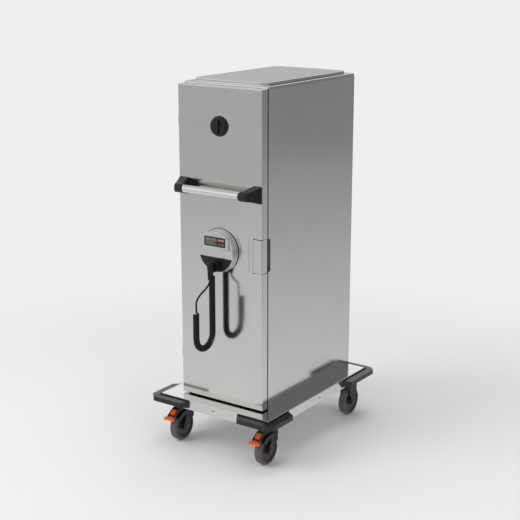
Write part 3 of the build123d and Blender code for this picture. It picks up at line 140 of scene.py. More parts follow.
world = bpy.data.worlds.new("studio")
bpy.context.scene.world = world
world.use_nodes = True
background = next(n for n in world.node_tree.nodes if n.type == "BACKGROUND")
view = world.node_tree.nodes.new("ShaderNodeTexCoord").outputs["Generated"]
studio = ramp(unit_range(component(view, FRONT_LEFT), 1), STUDIO_SHADES)
sides = ramp(component(view, BACK_LEFT), SCREEN_SIDES)
rise = ramp(component(view, Z_AXIS), SCREEN_RISE)
screen = calculate("MULTIPLY", calculate("MULTIPLY", sides, rise), SCREEN_GAIN)
lit = world.node_tree.nodes.new("ShaderNodeVectorMath")
lit.operation = "ADD"
link(studio, lit.inputs[0])
link(screen, lit.inputs[1])
by_camera = world.node_tree.nodes.new("ShaderNodeLightPath").outputs["Is Camera Ray"]
link(mix(by_camera, lit.outputs["Vector"], BACKDROP), background.inputs["Color"])

# Floor: a plain pale studio floor. What the camera sees of it fades to an even pale backdrop, and what the
# steel mirrors of it grows darker with distance, most of all towards the back right and the front right.
FRONT_RIGHT = (0.82, -0.57, 0)
FLOOR_RADIUS = 90
FLOOR_SEGMENTS = 64
FLOOR_COLOUR = (0.80, 0.80, 0.795, 1)
FADE_START = 0.7
FADE_END = 2.6
MIRROR_REACH = 8
FLOOR_SHADES = [
    (0.0, 0.265), (0.07, 0.35), (0.224, 0.425), (0.345, 0.54), (0.415, 0.62), (0.53, 0.75), (0.70, 0.64),
    (0.88, 0.50),
]
RIGHT_SHADES = [(0.57, 1.0), (0.66, 0.58)]


def own_place(material):
    """The object's own coordinates, in metres, in a material."""
    return material.node_tree.nodes.new("ShaderNodeTexCoord").outputs["Object"]


floor_mesh = bpy.data.meshes.new("floor")
floor_form = bmesh.new()
bmesh.ops.create_circle(floor_form, cap_ends=True, radius=FLOOR_RADIUS, segments=FLOOR_SEGMENTS)
floor_form.to_mesh(floor_mesh)
floor_form.free()
floor = bpy.data.objects.new("floor", floor_mesh)
bpy.context.collection.objects.link(floor)
floor_paint = bpy.data.materials.new("floor_paint")
floor_paint.use_nodes = True
tree = floor_paint.node_tree
tree.nodes.clear()
place = own_place(floor_paint)
path = tree.nodes.new("ShaderNodeLightPath")
matt = tree.nodes.new("ShaderNodeBsdfDiffuse")
matt.inputs["Color"].default_value = FLOOR_COLOUR
backdrop = tree.nodes.new("ShaderNodeEmission")
backdrop.inputs["Color"].default_value = BACKDROP
distance = tree.nodes.new("ShaderNodeVectorMath")
distance.operation = "LENGTH"
link(place, distance.inputs[0])
fade = tree.nodes.new("ShaderNodeMapRange")
fade.interpolation_type = "SMOOTHSTEP"
link(distance.outputs["Value"], fade.inputs["Value"])
fade.inputs["From Min"].default_value = FADE_START
fade.inputs["From Max"].default_value = FADE_END
seen = tree.nodes.new("ShaderNodeMixShader")
link(calculate("MULTIPLY", fade.outputs["Result"], path.outputs["Is Camera Ray"]), seen.inputs["Fac"])
link(matt.outputs["BSDF"], seen.inputs[1])
link(backdrop.outputs["Emission"], seen.inputs[2])
far_shade = ramp(unit_range(component(place, FRONT_LEFT), MIRROR_REACH), FLOOR_SHADES)
right_shade = ramp(unit_range(component(place, FRONT_RIGHT), MIRROR_REACH), RIGHT_SHADES)
glow = tree.nodes.new("ShaderNodeEmission")
link(mix(1.0, far_shade, right_shade, "MULTIPLY"), glow.inputs["Color"])
mirrored = tree.nodes.new("ShaderNodeMixShader")
link(path.outputs["Is Glossy Ray"], mirrored.inputs["Fac"])
link(seen.outputs["Shader"], mirrored.inputs[1])
link(glow.outputs["Emission"], mirrored.inputs[2])
link(mirrored.outputs["Shader"], tree.nodes.new("ShaderNodeOutputMaterial").inputs["Surface"])
floor_mesh.materials.append(floor_paint)

# Lights: a wide soft key from the front left and above, a weak fill from the right and one overhead.
# They shape the plastic and the tyres; the steel takes its tone from the surround.
LIGHT_AIM = Vector((0, 0, 0.7))
for name, position, size, power in (
    ("key", (-2.2, -3.4, 3.6), 2.6, 95),
    ("fill", (3.6, -1.6, 2.2), 2.0, 26),
    ("overhead", (0.2, 0.6, 4.6), 3.0, 60),
):
    light = bpy.data.lights.new(name, "AREA")
    light.size = size
    light.energy = power
    lamp = bpy.data.objects.new(name, light)
    lamp.location = position
    lamp.rotation_euler = (LIGHT_AIM - lamp.location).to_track_quat("-Z", "Y").to_euler()
    lamp.visible_glossy = False
    bpy.context.collection.objects.link(lamp)

# Base plate: a tray folded from 2 mm satin stainless sheet.
# The cabinet stands on it and the bumpers, channels and castors are fixed to it from below.
STEEL_TINT = (0.735, 0.725, 0.71)
UPRIGHT_GRAIN = (1, 1, 0.01)
LEVEL_GRAIN = (0.01, 1, 1)
EVEN_GRAIN = (1, 1, 1)
CLOUD_SCALE = 5
CLOUD_SHADE = 0.965
CLOUD_GLOSS = 0.6
GRAIN_SCALE = 900
GRAIN_GLOSS = 0.4
GRAIN_BUMP = 0.05
GRAIN_DEPTH = 0.00002
NOISE_SPAN = (0.3, 0.7)


def shader_of(material):
    return next(n for n in material.node_tree.nodes if n.type == "BSDF_PRINCIPLED")


def principled(name):
    """New material with its principled shader and the object's own coordinates."""
    material = bpy.data.materials.new(name)
    material.use_nodes = True
    return material, shader_of(material), own_place(material)


def noise(place, scale, detail=2.0, stretch=EVEN_GRAIN):
    """Noise over the surface, finer where stretch is larger."""
    nodes = place.id_data.nodes
    mapping = nodes.new("ShaderNodeMapping")
    mapping.inputs["Scale"].default_value = stretch
    link(place, mapping.inputs["Vector"])
    texture = nodes.new("ShaderNodeTexNoise")
    texture.inputs["Scale"].default_value = scale
    texture.inputs["Detail"].default_value = detail
    link(mapping.outputs["Vector"], texture.inputs["Vector"])
    return texture.outputs["Fac"]


def between(factor, low, high, span=NOISE_SPAN):
    """Ramp from one shade to another over a span of the factor."""
    return ramp(factor, list(zip(span, (low, high))))


def roughen(shader, height, strength, depth, edge=0.0):
    """Bump from a height socket, depth in metres, over edges that look rounded to a radius."""
    bump = shader.id_data.nodes.new("ShaderNodeBump")
    if edge:
        rounded = shader.id_data.nodes.new("ShaderNodeBevel")
        rounded.inputs["Radius"].default_value = edge
        link(rounded.outputs["Normal"], bump.inputs["Normal"])
    bump.inputs["Strength"].default_value = strength
    bump.inputs["Distance"].default_value = depth
    link(height, bump.inputs["Height"])
    link(bump.outputs["Normal"], shader.inputs["Normal"])


def sheet_steel(name, tint, smooth, rough, grain=UPRIGHT_GRAIN):
    """Satin stainless sheet: fine rolled grain along one axis and faint cloudy changes of gloss."""
    material, shader, place = principled(name)
    shader.inputs["Metallic"].default_value = 1.0
    cloud = noise(place, CLOUD_SCALE, 3)
    lines = noise(place, GRAIN_SCALE, 2, grain)
    dull = tuple(CLOUD_SHADE * channel for channel in tint)
    link(between(cloud, dull, tint), shader.inputs["Base Color"])
    cloud_gloss = calculate("MULTIPLY", cloud, CLOUD_GLOSS)
    gloss = calculate("ADD", cloud_gloss, calculate("MULTIPLY", lines, GRAIN_GLOSS))
    link(between(gloss, smooth, rough), shader.inputs["Roughness"])
    roughen(shader, lines, GRAIN_BUMP, GRAIN_DEPTH)
    return material


def dress(material, *names):
    """Give CAD nodes their finished material."""
    for name in names:
        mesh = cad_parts[name].data
        mesh.materials.clear()
        mesh.materials.append(material)


satin = sheet_steel("satin_stainless", STEEL_TINT, smooth=0.13, rough=0.19)
level_satin = sheet_steel("satin_stainless_plate", STEEL_TINT, smooth=0.13, rough=0.19, grain=LEVEL_GRAIN)
dress(level_satin, "base_plate")

# Castor fixings: folded zinc plated channels, and plates and hexagon bolts with a dark passivated finish.
# They carry the four castors under the plate and show only from below.
SPANGLE_SCALE = 60
zinc, shader, place = principled("zinc_plating")
shader.inputs["Metallic"].default_value = 1.0
spangle = noise(place, SPANGLE_SCALE, 4)
link(between(spangle, (0.44, 0.45, 0.46), (0.60, 0.61, 0.62)), shader.inputs["Base Color"])
link(between(spangle, 0.32, 0.48), shader.inputs["Roughness"])
dress(zinc, "castor_channels")
dark_zinc = sheet_steel("dark_zinc_plating", (0.10, 0.10, 0.105), smooth=0.34, rough=0.46)
dress(dark_zinc, "castor_plates", "castor_bolts")

# Bumpers: four thick corner mouldings of tough black plastic, pushed on to the edge of the plate.
# Fine mould grain all over, a little greyer and duller in patches, and paler along the edges, partly from
# wear and partly as painted highlight.
# A small dull black insert sits in each skirt of the plate between them.
RUB_AND_HIGHLIGHT_GAIN = 3.0
EDGE_GAIN = 3.4
PATCH_SCALE = 22
PATCH_SPAN = (0.35, 0.75)
MOULD_BUMP = 0.15
MOULD_DEPTH = 0.00008


def edge_mask(shader, radius):
    """Near 1 on sharp edges and 0 on flat surfaces: how far a rounded normal leans from the true one."""
    nodes = shader.id_data.nodes
    rounded = nodes.new("ShaderNodeBevel")
    rounded.inputs["Radius"].default_value = radius
    lean = nodes.new("ShaderNodeVectorMath")
    lean.operation = "DOT_PRODUCT"
    link(rounded.outputs["Normal"], lean.inputs[0])
    link(nodes.new("ShaderNodeNewGeometry").outputs["Normal"], lean.inputs[1])
    return calculate("MULTIPLY_ADD", lean.outputs["Value"], -EDGE_GAIN, EDGE_GAIN)


def moulded(name, colour, worn, smooth, rough, grain=1400, edge=0.0, specular=0.5):
    """Moulded plastic with fine texture, paler in patches, and paler along its edges as wear and painted
    highlight.
    """
    material, shader, place = principled(name)
    shader.inputs["Specular IOR Level"].default_value = specular
    patches = noise(place, PATCH_SCALE, 4)
    texture = noise(place, grain, 1)
    shade = between(patches, colour, worn, PATCH_SPAN)
    if edge:
        # Edges are painted paler: partly wear, partly painted highlight.
        rub_and_highlight = calculate("MULTIPLY", edge_mask(shader, 2 * edge), patches)
        shade = mix(rub_and_highlight, shade, (*[RUB_AND_HIGHLIGHT_GAIN * channel for channel in worn], 1))
    link(shade, shader.inputs["Base Color"])
    link(between(patches, smooth, rough), shader.inputs["Roughness"])
    roughen(shader, texture, MOULD_BUMP, MOULD_DEPTH, edge)
    return material


corners = [f"{row}_{side}" for row in ("front", "rear") for side in ("left", "right")]
bumper_plastic = moulded(
    "bumper_plastic", (0.005, 0.005, 0.0053), (0.008, 0.008, 0.0084), smooth=0.20, rough=0.27, grain=900,
    edge=0.0015)
dress(bumper_plastic, *[f"bumper_{corner}" for corner in corners])
insert_black = moulded(
    "insert_black", (0.002, 0.002, 0.002), (0.004, 0.004, 0.004), smooth=0.60, rough=0.75, specular=0.10)
dress(insert_black, "skirt_inserts")

# Castor forks: moulded in glass filled black nylon, a little paler along the edges as wear and painted
# highlight.
# The front pair swivels under its plates and the rear pair is fixed.
fork_nylon = moulded(
    "fork_nylon", (0.006, 0.006, 0.0063), (0.010, 0.010, 0.0105), smooth=0.36, rough=0.46, edge=0.001,
    specular=0.36)
dress(fork_nylon, "front_fork_left", "front_fork_right", "rear_forks")

# Wheels: dark moulded cores with soft grey rubber tyres, which do not mark floors.
# They turn on axles with a black finish.
core_nylon = moulded(
    "core_nylon", (0.008, 0.008, 0.0085), (0.013, 0.013, 0.0135), smooth=0.40, rough=0.52, edge=0.001)
tyre_rubber = moulded(
    "tyre_rubber", (0.084, 0.077, 0.075), (0.112, 0.104, 0.101), smooth=0.62, rough=0.78, grain=700)
dress(core_nylon, *[f"wheel_core_{corner}" for corner in corners])
dress(tyre_rubber, *[f"tyre_{corner}" for corner in corners])
axle_black = moulded("axle_black", (0.018, 0.018, 0.018), (0.026, 0.026, 0.026), smooth=0.30, rough=0.42)
dress(axle_black, "axle_front_left", "axle_front_right", "rear_axles")

# Brake pedals: orange plastic rockers on the two front castors.
# They are glossy, more so where shoes touch them.
pedal_plastic = moulded("pedal_plastic", (0.80, 0.105, 0.012), (0.84, 0.13, 0.018), smooth=0.32, rough=0.45)
dress(pedal_plastic, "brake_pedal_left", "brake_pedal_right")

# Cabinet: folded satin casing and pressed lid outside, plain stainless liner and runner rails inside.
# A black moulded frame round the mouth keeps the heat from the casing and forms the finger pocket.
dress(satin, "outer_shell")
dress(level_satin, "top_lid")
liner_steel = sheet_steel("liner_stainless", (0.66, 0.655, 0.645), smooth=0.24, rough=0.34)
dress(liner_steel, "inner_liner", "runner_rails_left", "runner_rails_right")
foam = moulded("foam", (0.62, 0.50, 0.27), (0.70, 0.58, 0.34), smooth=0.8, rough=0.95, grain=300)
dress(foam, "body_insulation", "door_insulation")
black_plastic = moulded(
    "black_plastic", (0.006, 0.006, 0.0065), (0.010, 0.010, 0.0105), smooth=0.34, rough=0.44, edge=0.0008,
    specular=0.40)
dress(black_plastic, "front_frame", "grip_backing")
grey_plastic = moulded(
    "grey_plastic", (0.150, 0.150, 0.148), (0.175, 0.175, 0.172), smooth=0.40, rough=0.50)
dress(grey_plastic, "finger_cup")

# Door: folded outer pan and flat inner sheet round foam, carried on the left by lift-off hinges.
# A bowed stainless plate wraps its right edge as a grip, with painted shade as a soft dark line along the
# plate's left edge.
X_AXIS = (1, 0, 0)
GRIP_SHADE_WIDTH = 0.009
GRIP_SHADE_COLOUR = (0.50, 0.495, 0.485, 1)
GRIP_SHADE_FADE = [(0.0, 0.25), (0.3, 0.8), (0.6, 0.5), (1.0, 0.0)]


def recolour(material, factor, colour, blend="MIX"):
    """Mix a colour into the base colour that a material already has."""
    base = shader_of(material).inputs["Base Color"]
    link(mix(factor, base.links[0].from_socket, colour, blend), base)


door_satin = sheet_steel("satin_stainless_door", STEEL_TINT, smooth=0.115, rough=0.165)
dress(door_satin, "door_outer_skin")
grip_steel = sheet_steel("grip_stainless", STEEL_TINT, smooth=0.13, rough=0.19)
# Painted shade: a soft dark colour is mixed into the grip just inside its left edge.
from_edge = calculate("SUBTRACT", component(own_place(grip_steel), X_AXIS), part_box("door_grip")[0][0])
recolour(grip_steel, ramp(calculate("DIVIDE", from_edge, GRIP_SHADE_WIDTH), GRIP_SHADE_FADE), GRIP_SHADE_COLOUR)
dress(grip_steel, "door_grip")
dress(liner_steel, "door_inner_skin")
dress(zinc, "hinge_body_leaves", "hinge_door_leaves", "hinge_pins")

# Gasket: soft black rubber on the back of the door, with a foot, a thin fold and a bulb round a magnetic
# strip. One profile, given in millimetres as inset and height, runs round the door with mitred corners,
# and its bulb rests on the front frame.
GASKET_PROFILE = (
    (0.0, 0.0), (0.0, 0.7), (0.4, 1.1), (2.6, 1.2), (3.4, 1.6), (3.5, 2.1), (2.2, 2.7), (1.7, 3.3),
    (1.9, 3.9), (2.6, 4.3), (3.4, 4.4), (8.6, 4.4), (9.4, 4.2), (9.8, 3.6), (9.8, 2.0), (10.2, 1.4),
    (11.0, 1.15), (13.6, 1.0), (14.0, 0.6), (14.0, 0.0),
)
MM = 0.001


def piece(name, form, material, body):
    """Finished object from a bmesh, on its body."""
    mesh = bpy.data.meshes.new(name)
    form.to_mesh(mesh)
    form.free()
    mesh.materials.append(material)
    made = bpy.data.objects.new(name, mesh)
    bpy.context.collection.objects.link(made)
    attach(made, body)
    return made


soft_rubber = moulded(
    "soft_rubber", (0.014, 0.014, 0.015), (0.020, 0.020, 0.021), smooth=0.55, rough=0.70, grain=500)
(left, door_back, low), (right, _, high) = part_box("door_gasket")
gasket_form = bmesh.new()
rings = []
for inset, out in GASKET_PROFILE:
    x0, x1 = left + inset * MM, right - inset * MM
    z0, z1 = low + inset * MM, high - inset * MM
    mitres = ((x0, z0), (x1, z0), (x1, z1), (x0, z1))
    rings.append([gasket_form.verts.new((x, door_back + out * MM, z)) for x, z in mitres])
for ring, following in zip(rings, rings[1:] + rings[:1]):
    for i in range(4):
        gasket_form.faces.new((ring[i - 1], ring[i], following[i], following[i - 1]))
bmesh.ops.recalc_face_normals(gasket_form, faces=gasket_form.faces)
gasket = piece("gasket", gasket_form, soft_rubber, "door")
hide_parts("door_gasket")

# Screws: stainless pan heads with a cross recess, in the hinge leaves, the fan guard and the vent grille.
# One tree sets a head on each vertex of a mesh of points and turns it to face one way.
HEAD_D = 0.0072
HEAD_H = 0.0022
HEAD_SEGMENTS = 24
HEAD_RINGS = 12
RECESS = 0.0040
RECESS_SHARE = 0.28
LEAF_T = 0.002
LEAF_H = 0.034
LEAF_INSET = 0.007
KNUCKLE_SHARE = 0.42


def new_tree(name, sizes, facing=False):
    """Geometry Nodes tree that takes points, named sizes and a material and gives finished geometry."""
    tree = bpy.data.node_groups.new(name, "GeometryNodeTree")
    tree.interface.new_socket("Points", in_out="INPUT", socket_type="NodeSocketGeometry")
    for title in sizes:
        tree.interface.new_socket(title, in_out="INPUT", socket_type="NodeSocketFloat")
    if facing:
        tree.interface.new_socket("Facing", in_out="INPUT", socket_type="NodeSocketVector")
    tree.interface.new_socket("Material", in_out="INPUT", socket_type="NodeSocketMaterial")
    tree.interface.new_socket("Pieces", in_out="OUTPUT", socket_type="NodeSocketGeometry")
    return tree, tree.nodes.new("NodeGroupInput").outputs


screw_tree, given = new_tree("screw_heads", ("Head Diameter", "Head Height", "Recess"), facing=True)


def grown(kind, **inputs):
    """Geometry node of a kind in the present tree, with its inputs set by name."""
    node = given["Points"].id_data.nodes.new(kind)
    for title, value in inputs.items():
        feed(value, node.inputs[title.replace("_", " ")])
    return node


radius = calculate("MULTIPLY", given["Head Diameter"], 0.5)
squash = grown("ShaderNodeCombineXYZ", X=1.0, Y=1.0, Z=calculate("DIVIDE", given["Head Height"], radius))
ball = grown("GeometryNodeMeshUVSphere", Segments=HEAD_SEGMENTS, Rings=HEAD_RINGS, Radius=radius)
dome = grown("GeometryNodeTransform", Geometry=ball.outputs["Mesh"], Scale=squash.outputs["Vector"])
arm_width = calculate("MULTIPLY", given["Recess"], RECESS_SHARE)
lift = grown("ShaderNodeCombineXYZ", Z=given["Head Height"])
drilled = dome.outputs["Geometry"]
for size in ({"X": given["Recess"], "Y": arm_width}, {"X": arm_width, "Y": given["Recess"]}):
    arm_size = grown("ShaderNodeCombineXYZ", Z=given["Head Height"], **size)
    block = grown("GeometryNodeMeshCube", Size=arm_size.outputs["Vector"])
    arm = grown("GeometryNodeTransform", Geometry=block.outputs["Mesh"], Translation=lift.outputs["Vector"])
    cut = grown("GeometryNodeMeshBoolean", Mesh_1=drilled, Mesh_2=arm.outputs["Geometry"])
    cut.operation = "DIFFERENCE"
    drilled = cut.outputs["Mesh"]
turned = grown("FunctionNodeAlignRotationToVector", Vector=given["Facing"])
turned.axis = "Z"
heads = grown("GeometryNodeInstanceOnPoints", Points=given["Points"], Instance=drilled,
              Rotation=turned.outputs["Rotation"])


def finish_tree(instances):
    """Make a tree's instances real, give them the material and pass them out."""
    solid = grown("GeometryNodeRealizeInstances", Geometry=instances)
    finished = grown("GeometryNodeSetMaterial", Geometry=solid.outputs["Geometry"],
                     Material=given["Material"])
    link(finished.outputs["Geometry"], solid.id_data.nodes.new("NodeGroupOutput").inputs["Pieces"])


finish_tree(heads.outputs["Instances"])


def grow(name, points, tree, values, body):
    """Plain mesh on a body from points that a Geometry Nodes tree has turned into pieces."""
    seeds = bpy.data.meshes.new(name + "_points")
    seeds.from_pydata(points, [], [])
    made = bpy.data.objects.new(name, seeds)
    bpy.context.collection.objects.link(made)
    modifier = made.modifiers.new("pieces", "NODES")
    modifier.node_group = tree
    for socket in tree.interface.items_tree:
        if socket.name in values:
            modifier[socket.identifier] = values[socket.name]
    shaped = made.evaluated_get(bpy.context.evaluated_depsgraph_get())
    mesh = bpy.data.meshes.new_from_object(shaped)
    made.modifiers.clear()
    made.data = mesh
    bpy.data.meshes.remove(seeds)
    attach(made, body)


def hinge_screws(node, near_door):
    """Two screws in each of the two leaves of a node, on the side away from the knuckle."""
    (_, y0, z0), (_, y1, z1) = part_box(node)
    knuckle = (y1 - y0) * KNUCKLE_SHARE
    rows = (y0 + LEAF_INSET, y1 - knuckle) if near_door else (y1 - LEAF_INSET, y0 + knuckle)
    leaf_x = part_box("door_outer_skin")[0][0] - LEAF_T
    return [(leaf_x, y, z) for z in (z0 + LEAF_H / 2, z1 - LEAF_H / 2) for y in rows]


screw_steel = sheet_steel("screw_stainless", (0.62, 0.615, 0.60), smooth=0.22, rough=0.32)
screw_values = {"Head Diameter": HEAD_D, "Head Height": HEAD_H, "Recess": RECESS, "Material": screw_steel}
outward_left = {**screw_values, "Facing": (-1, 0, 0)}
door_places = hinge_screws("hinge_door_leaves", True)
body_places = hinge_screws("hinge_body_leaves", False)
grow("hinge_door_screws", door_places, screw_tree, outward_left, "door")
grow("hinge_body_screws", body_places, screw_tree, outward_left, "chassis")

# Push bar: a polished stainless tube held in two black moulded brackets.
# Its colour is painted a little darker towards its back, which only the door mirrors: painted shade.
Y_AXIS = (0, 1, 0)
BAR_TINT = (0.80, 0.795, 0.785)
BAR_PAINTED_SHADES = [(0.40, 1.0), (0.70, 0.78)]
bar_steel = sheet_steel("bar_stainless", BAR_TINT, smooth=0.10, rough=0.16, grain=LEVEL_GRAIN)
(_, bar_front, _), (_, bar_back, _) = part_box("push_bar")
# Painted shade: the bar's colour darkens towards its back.
behind = calculate("SUBTRACT", component(own_place(bar_steel), Y_AXIS), bar_front)
bar_painted_shade = ramp(calculate("DIVIDE", behind, bar_back - bar_front), BAR_PAINTED_SHADES)
recolour(bar_steel, 1.0, bar_painted_shade, "MULTIPLY")
dress(bar_steel, "push_bar")
dress(black_plastic, "handle_bracket_left", "handle_bracket_right")

# Rotary vent: a black knob that turns in a port through the door.
# A small steel grille covers the port on the inside.
dress(black_plastic, "vent_port", "vent_knob")
dress(liner_steel, "vent_inner_grille")

# Heater unit: a silver housing on a black seal ring and a black holder for the plug.
# The front of the seal's flange lies under the silver paint of the housing's foot, up to a radius.
SILVER_TINT = (0.73, 0.73, 0.72)
PAINT_DEPTH = 0.00005
PAINT_R = 0.0888
PAINT_ROUGH = 0.22
RUBBER_ROUGH = 0.56
silver_paint = sheet_steel("silver_paint", SILVER_TINT, smooth=0.19, rough=0.25, grain=EVEN_GRAIN)
dress(silver_paint, "heater_bezel")
seal_rubber = moulded(
    "seal_rubber", (0.004, 0.004, 0.0045), (0.007, 0.007, 0.0075), smooth=0.50, rough=0.62, grain=700)
seal_place = own_place(seal_rubber)
(seal_left, seal_front, seal_bottom), (seal_right, _, seal_top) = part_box("heater_seal")
heater_z = (seal_bottom + seal_top) / 2
in_front = calculate("LESS_THAN", component(seal_place, Y_AXIS), seal_front + PAINT_DEPTH)
off_x = calculate("SUBTRACT", component(seal_place, X_AXIS), (seal_left + seal_right) / 2)
off_z = calculate("SUBTRACT", component(seal_place, Z_AXIS), heater_z)
off_axis = calculate("ADD", calculate("MULTIPLY", off_x, off_x), calculate("MULTIPLY", off_z, off_z))
painted = calculate("MULTIPLY", in_front, calculate("LESS_THAN", off_axis, PAINT_R ** 2))
recolour(seal_rubber, painted, (*SILVER_TINT, 1))
shader = shader_of(seal_rubber)
link(painted, shader.inputs["Metallic"])
seal_rough = calculate("MULTIPLY_ADD", painted, PAINT_ROUGH - RUBBER_ROUGH, RUBBER_ROUGH)
link(seal_rough, shader.inputs["Roughness"])
dress(seal_rubber, "heater_seal")
dress(black_plastic, "plug_holder")

# Display: a glossy dark pane over a grey-brown screen with plain bars, an orange bar and two grey keys.
# The bars are areas of the pane's own material: left, right, low and high edges as fractions of its width
# and height, and a colour.
DISPLAY_AREAS = (
    (0.04, 0.60, 0.10, 0.90, (0.060, 0.058, 0.054)),
    (0.08, 0.28, 0.60, 0.82, (0.175, 0.170, 0.155)),
    (0.33, 0.55, 0.60, 0.82, (0.165, 0.160, 0.145)),
    (0.08, 0.40, 0.40, 0.50, (0.150, 0.145, 0.130)),
    (0.08, 0.53, 0.20, 0.30, (0.160, 0.155, 0.140)),
    (0.65, 0.94, 0.62, 0.80, (0.420, 0.190, 0.100)),
    (0.65, 0.78, 0.14, 0.42, (0.060, 0.072, 0.064)),
    (0.81, 0.94, 0.14, 0.42, (0.072, 0.076, 0.080)),
)
PANE_SHADE_SCALE = 40
PANE_GLOSS_SCALE = 30
(pane_x, _, pane_z), (pane_right, _, pane_top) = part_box("display_window")
pane_w = pane_right - pane_x
pane_h = pane_top - pane_z
pane, shader, place = principled("display_pane")
across = component(place, X_AXIS)
upwards = component(place, Z_AXIS)
shade = between(noise(place, PANE_SHADE_SCALE), 0.014, 0.018)
for left, right, low, high, colour in DISPLAY_AREAS:
    sideways = calculate("SUBTRACT", across, pane_x + pane_w * (left + right) / 2)
    rise = calculate("SUBTRACT", upwards, pane_z + pane_h * (low + high) / 2)
    inside = calculate("LESS_THAN", calculate("ABSOLUTE", sideways), pane_w * (right - left) / 2)
    within = calculate("LESS_THAN", calculate("ABSOLUTE", rise), pane_h * (high - low) / 2)
    shade = mix(calculate("MULTIPLY", inside, within), shade, (*colour, 1))
link(shade, shader.inputs["Base Color"])
link(between(noise(place, PANE_GLOSS_SCALE), 0.10, 0.14), shader.inputs["Roughness"])
dress(pane, "display_window")

# Inside the door: steel drum, guard and fan, a zinc plated motor and a heat tinted element.
# Screws round their rims hold the fan guard and the grille of the vent.
GUARD_SCREWS = 6
GUARD_INSET = 0.0042
GRILLE_SCREWS = 4
GRILLE_INSET = 0.005
dress(liner_steel, "heater_drum", "fan_guard", "fan_impeller")
dress(zinc, "fan_motor")
element_steel = sheet_steel("element_steel", (0.30, 0.26, 0.23), smooth=0.35, rough=0.5)
dress(element_steel, "heating_element")


def ring_of_screws(node, count, inset):
    """Places on the inner face of a round node, evenly round its rim."""
    (x0, _, z0), (x1, face, z1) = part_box(node)
    middle = Vector(((x0 + x1) / 2, face, (z0 + z1) / 2))
    reach = (x1 - x0) / 2 - inset
    angles = [2 * pi * (i + 0.5) / count for i in range(count)]
    return [middle + Vector((cos(a), 0, sin(a))) * reach for a in angles]


inner_places = ring_of_screws("fan_guard", GUARD_SCREWS, GUARD_INSET)
inner_places += ring_of_screws("vent_inner_grille", GRILLE_SCREWS, GRILLE_INSET)
grow("inner_screws", inner_places, screw_tree, {**screw_values, "Facing": Y_AXIS}, "door")

# Mains cord: a black curly lead that hangs from a gland in the holder, turns up and ends in the parked
# plug. Its helix follows an axis of two upright arms and a half circle, all in one upright plane beside
# the plug. Heights are drops from the middle of the heater, and depths are measured from the door's face.
CORD_D = 0.0077
COIL_X = -0.0095
COIL_R = 0.0096
COIL_TOP_DROP = 0.103
COIL_BEND_DROP = 0.336
COIL_END_DROP = 0.2314
ARM_OUT = 0.0468
ARM_PITCH = 0.0084
BEND_PITCH = 0.0091
BEND_R = 0.053
NECK_OUT = 0.070
NECK_END_DROP = 0.1016
LEAD_SIDE = 0.0058
LEAD_RISE = 0.009
LEAD_TOP = 0.0152
LEAD_IN_RISE = 0.0081
LEAD_TURN_SIDE = 0.00435
LEAD_TURN_RISE = 0.0008
TAIL_RISE = 0.045
TAIL_FALL = 0.027
TURN_POINTS = 12
CORD_ORDER = 3
CORD_STEPS = 7
CORD_ROUNDNESS = 3
door_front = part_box("door_outer_skin")[0][1]
lengths = (COIL_BEND_DROP - COIL_TOP_DROP, pi * BEND_R, COIL_BEND_DROP - COIL_END_DROP)
turns = [length / pitch for length, pitch in zip(lengths, (ARM_PITCH, BEND_PITCH, ARM_PITCH))]
total_turns = int(sum(turns)) - 0.5
turns = [count * total_turns / sum(turns) for count in turns]
# A curve of this order runs this much inside control points on a circle
spline_shrink = cos(pi / TURN_POINTS)


def coil_axis(s):
    """Centre of the coil and its outward direction at a length s along its axis."""
    arm_y = door_front - ARM_OUT
    if s < lengths[0]:
        return Vector((COIL_X, arm_y, heater_z - COIL_TOP_DROP - s)), Vector((0, 1, 0))
    if s < lengths[0] + lengths[1]:
        bend = (s - lengths[0]) / BEND_R
        centre = Vector((COIL_X, arm_y - BEND_R, heater_z - COIL_BEND_DROP))
        outward = Vector((0, cos(bend), -sin(bend)))
        return centre + outward * BEND_R, outward
    rise = s - lengths[0] - lengths[1]
    return Vector((COIL_X, arm_y - 2 * BEND_R, heater_z - COIL_BEND_DROP + rise)), Vector((0, -1, 0))


def coil_point(turn):
    """Centre of the cord after a number of turns."""
    s = 0
    left = turn
    for length, count in zip(lengths, turns):
        s += length * min(max(left, 0), count) / count
        left -= count
    centre, outward = coil_axis(s)
    spread = outward * cos(2 * pi * turn) + Vector(X_AXIS) * sin(2 * pi * turn)
    return centre + spread * COIL_R / spline_shrink


top_z = heater_z - COIL_TOP_DROP
end_z = heater_z - COIL_END_DROP
neck_z = heater_z - NECK_END_DROP
neck_y = door_front - NECK_OUT
near_y = door_front - ARM_OUT + COIL_R
far_y = near_y - 2 * BEND_R
lead_x = COIL_X - LEAD_SIDE
turn_in_x = COIL_X - LEAD_TURN_SIDE
gland = Vector((lead_x, near_y, top_z + LEAD_TOP))
route = [
    gland,
    Vector((lead_x, near_y, top_z + LEAD_IN_RISE)),
    Vector((turn_in_x, near_y, top_z + LEAD_TURN_RISE)),
]
steps = round(total_turns * TURN_POINTS)
route += [coil_point(total_turns * i / steps) for i in range(steps + 1)]
route += [
    Vector((turn_in_x, far_y, end_z + LEAD_TURN_RISE)),
    Vector((lead_x, far_y, end_z + LEAD_RISE)),
    Vector((lead_x, far_y, end_z + LEAD_TOP + TAIL_RISE)),
    Vector((0, neck_y, neck_z - TAIL_FALL)),
    Vector((0, neck_y, neck_z)),
]
cord_curve = bpy.data.curves.new("mains_cord", "CURVE")
cord_curve.dimensions = "3D"
cord_curve.bevel_depth = CORD_D / 2
cord_curve.bevel_resolution = CORD_ROUNDNESS
cord_curve.resolution_u = CORD_STEPS
cord_curve.use_fill_caps = True
spline = cord_curve.splines.new("NURBS")
spline.points.add(len(route) - 1)
for point, where in zip(spline.points, route):
    point.co = (*where, 1)
spline.order_u = CORD_ORDER
spline.use_endpoint_u = True
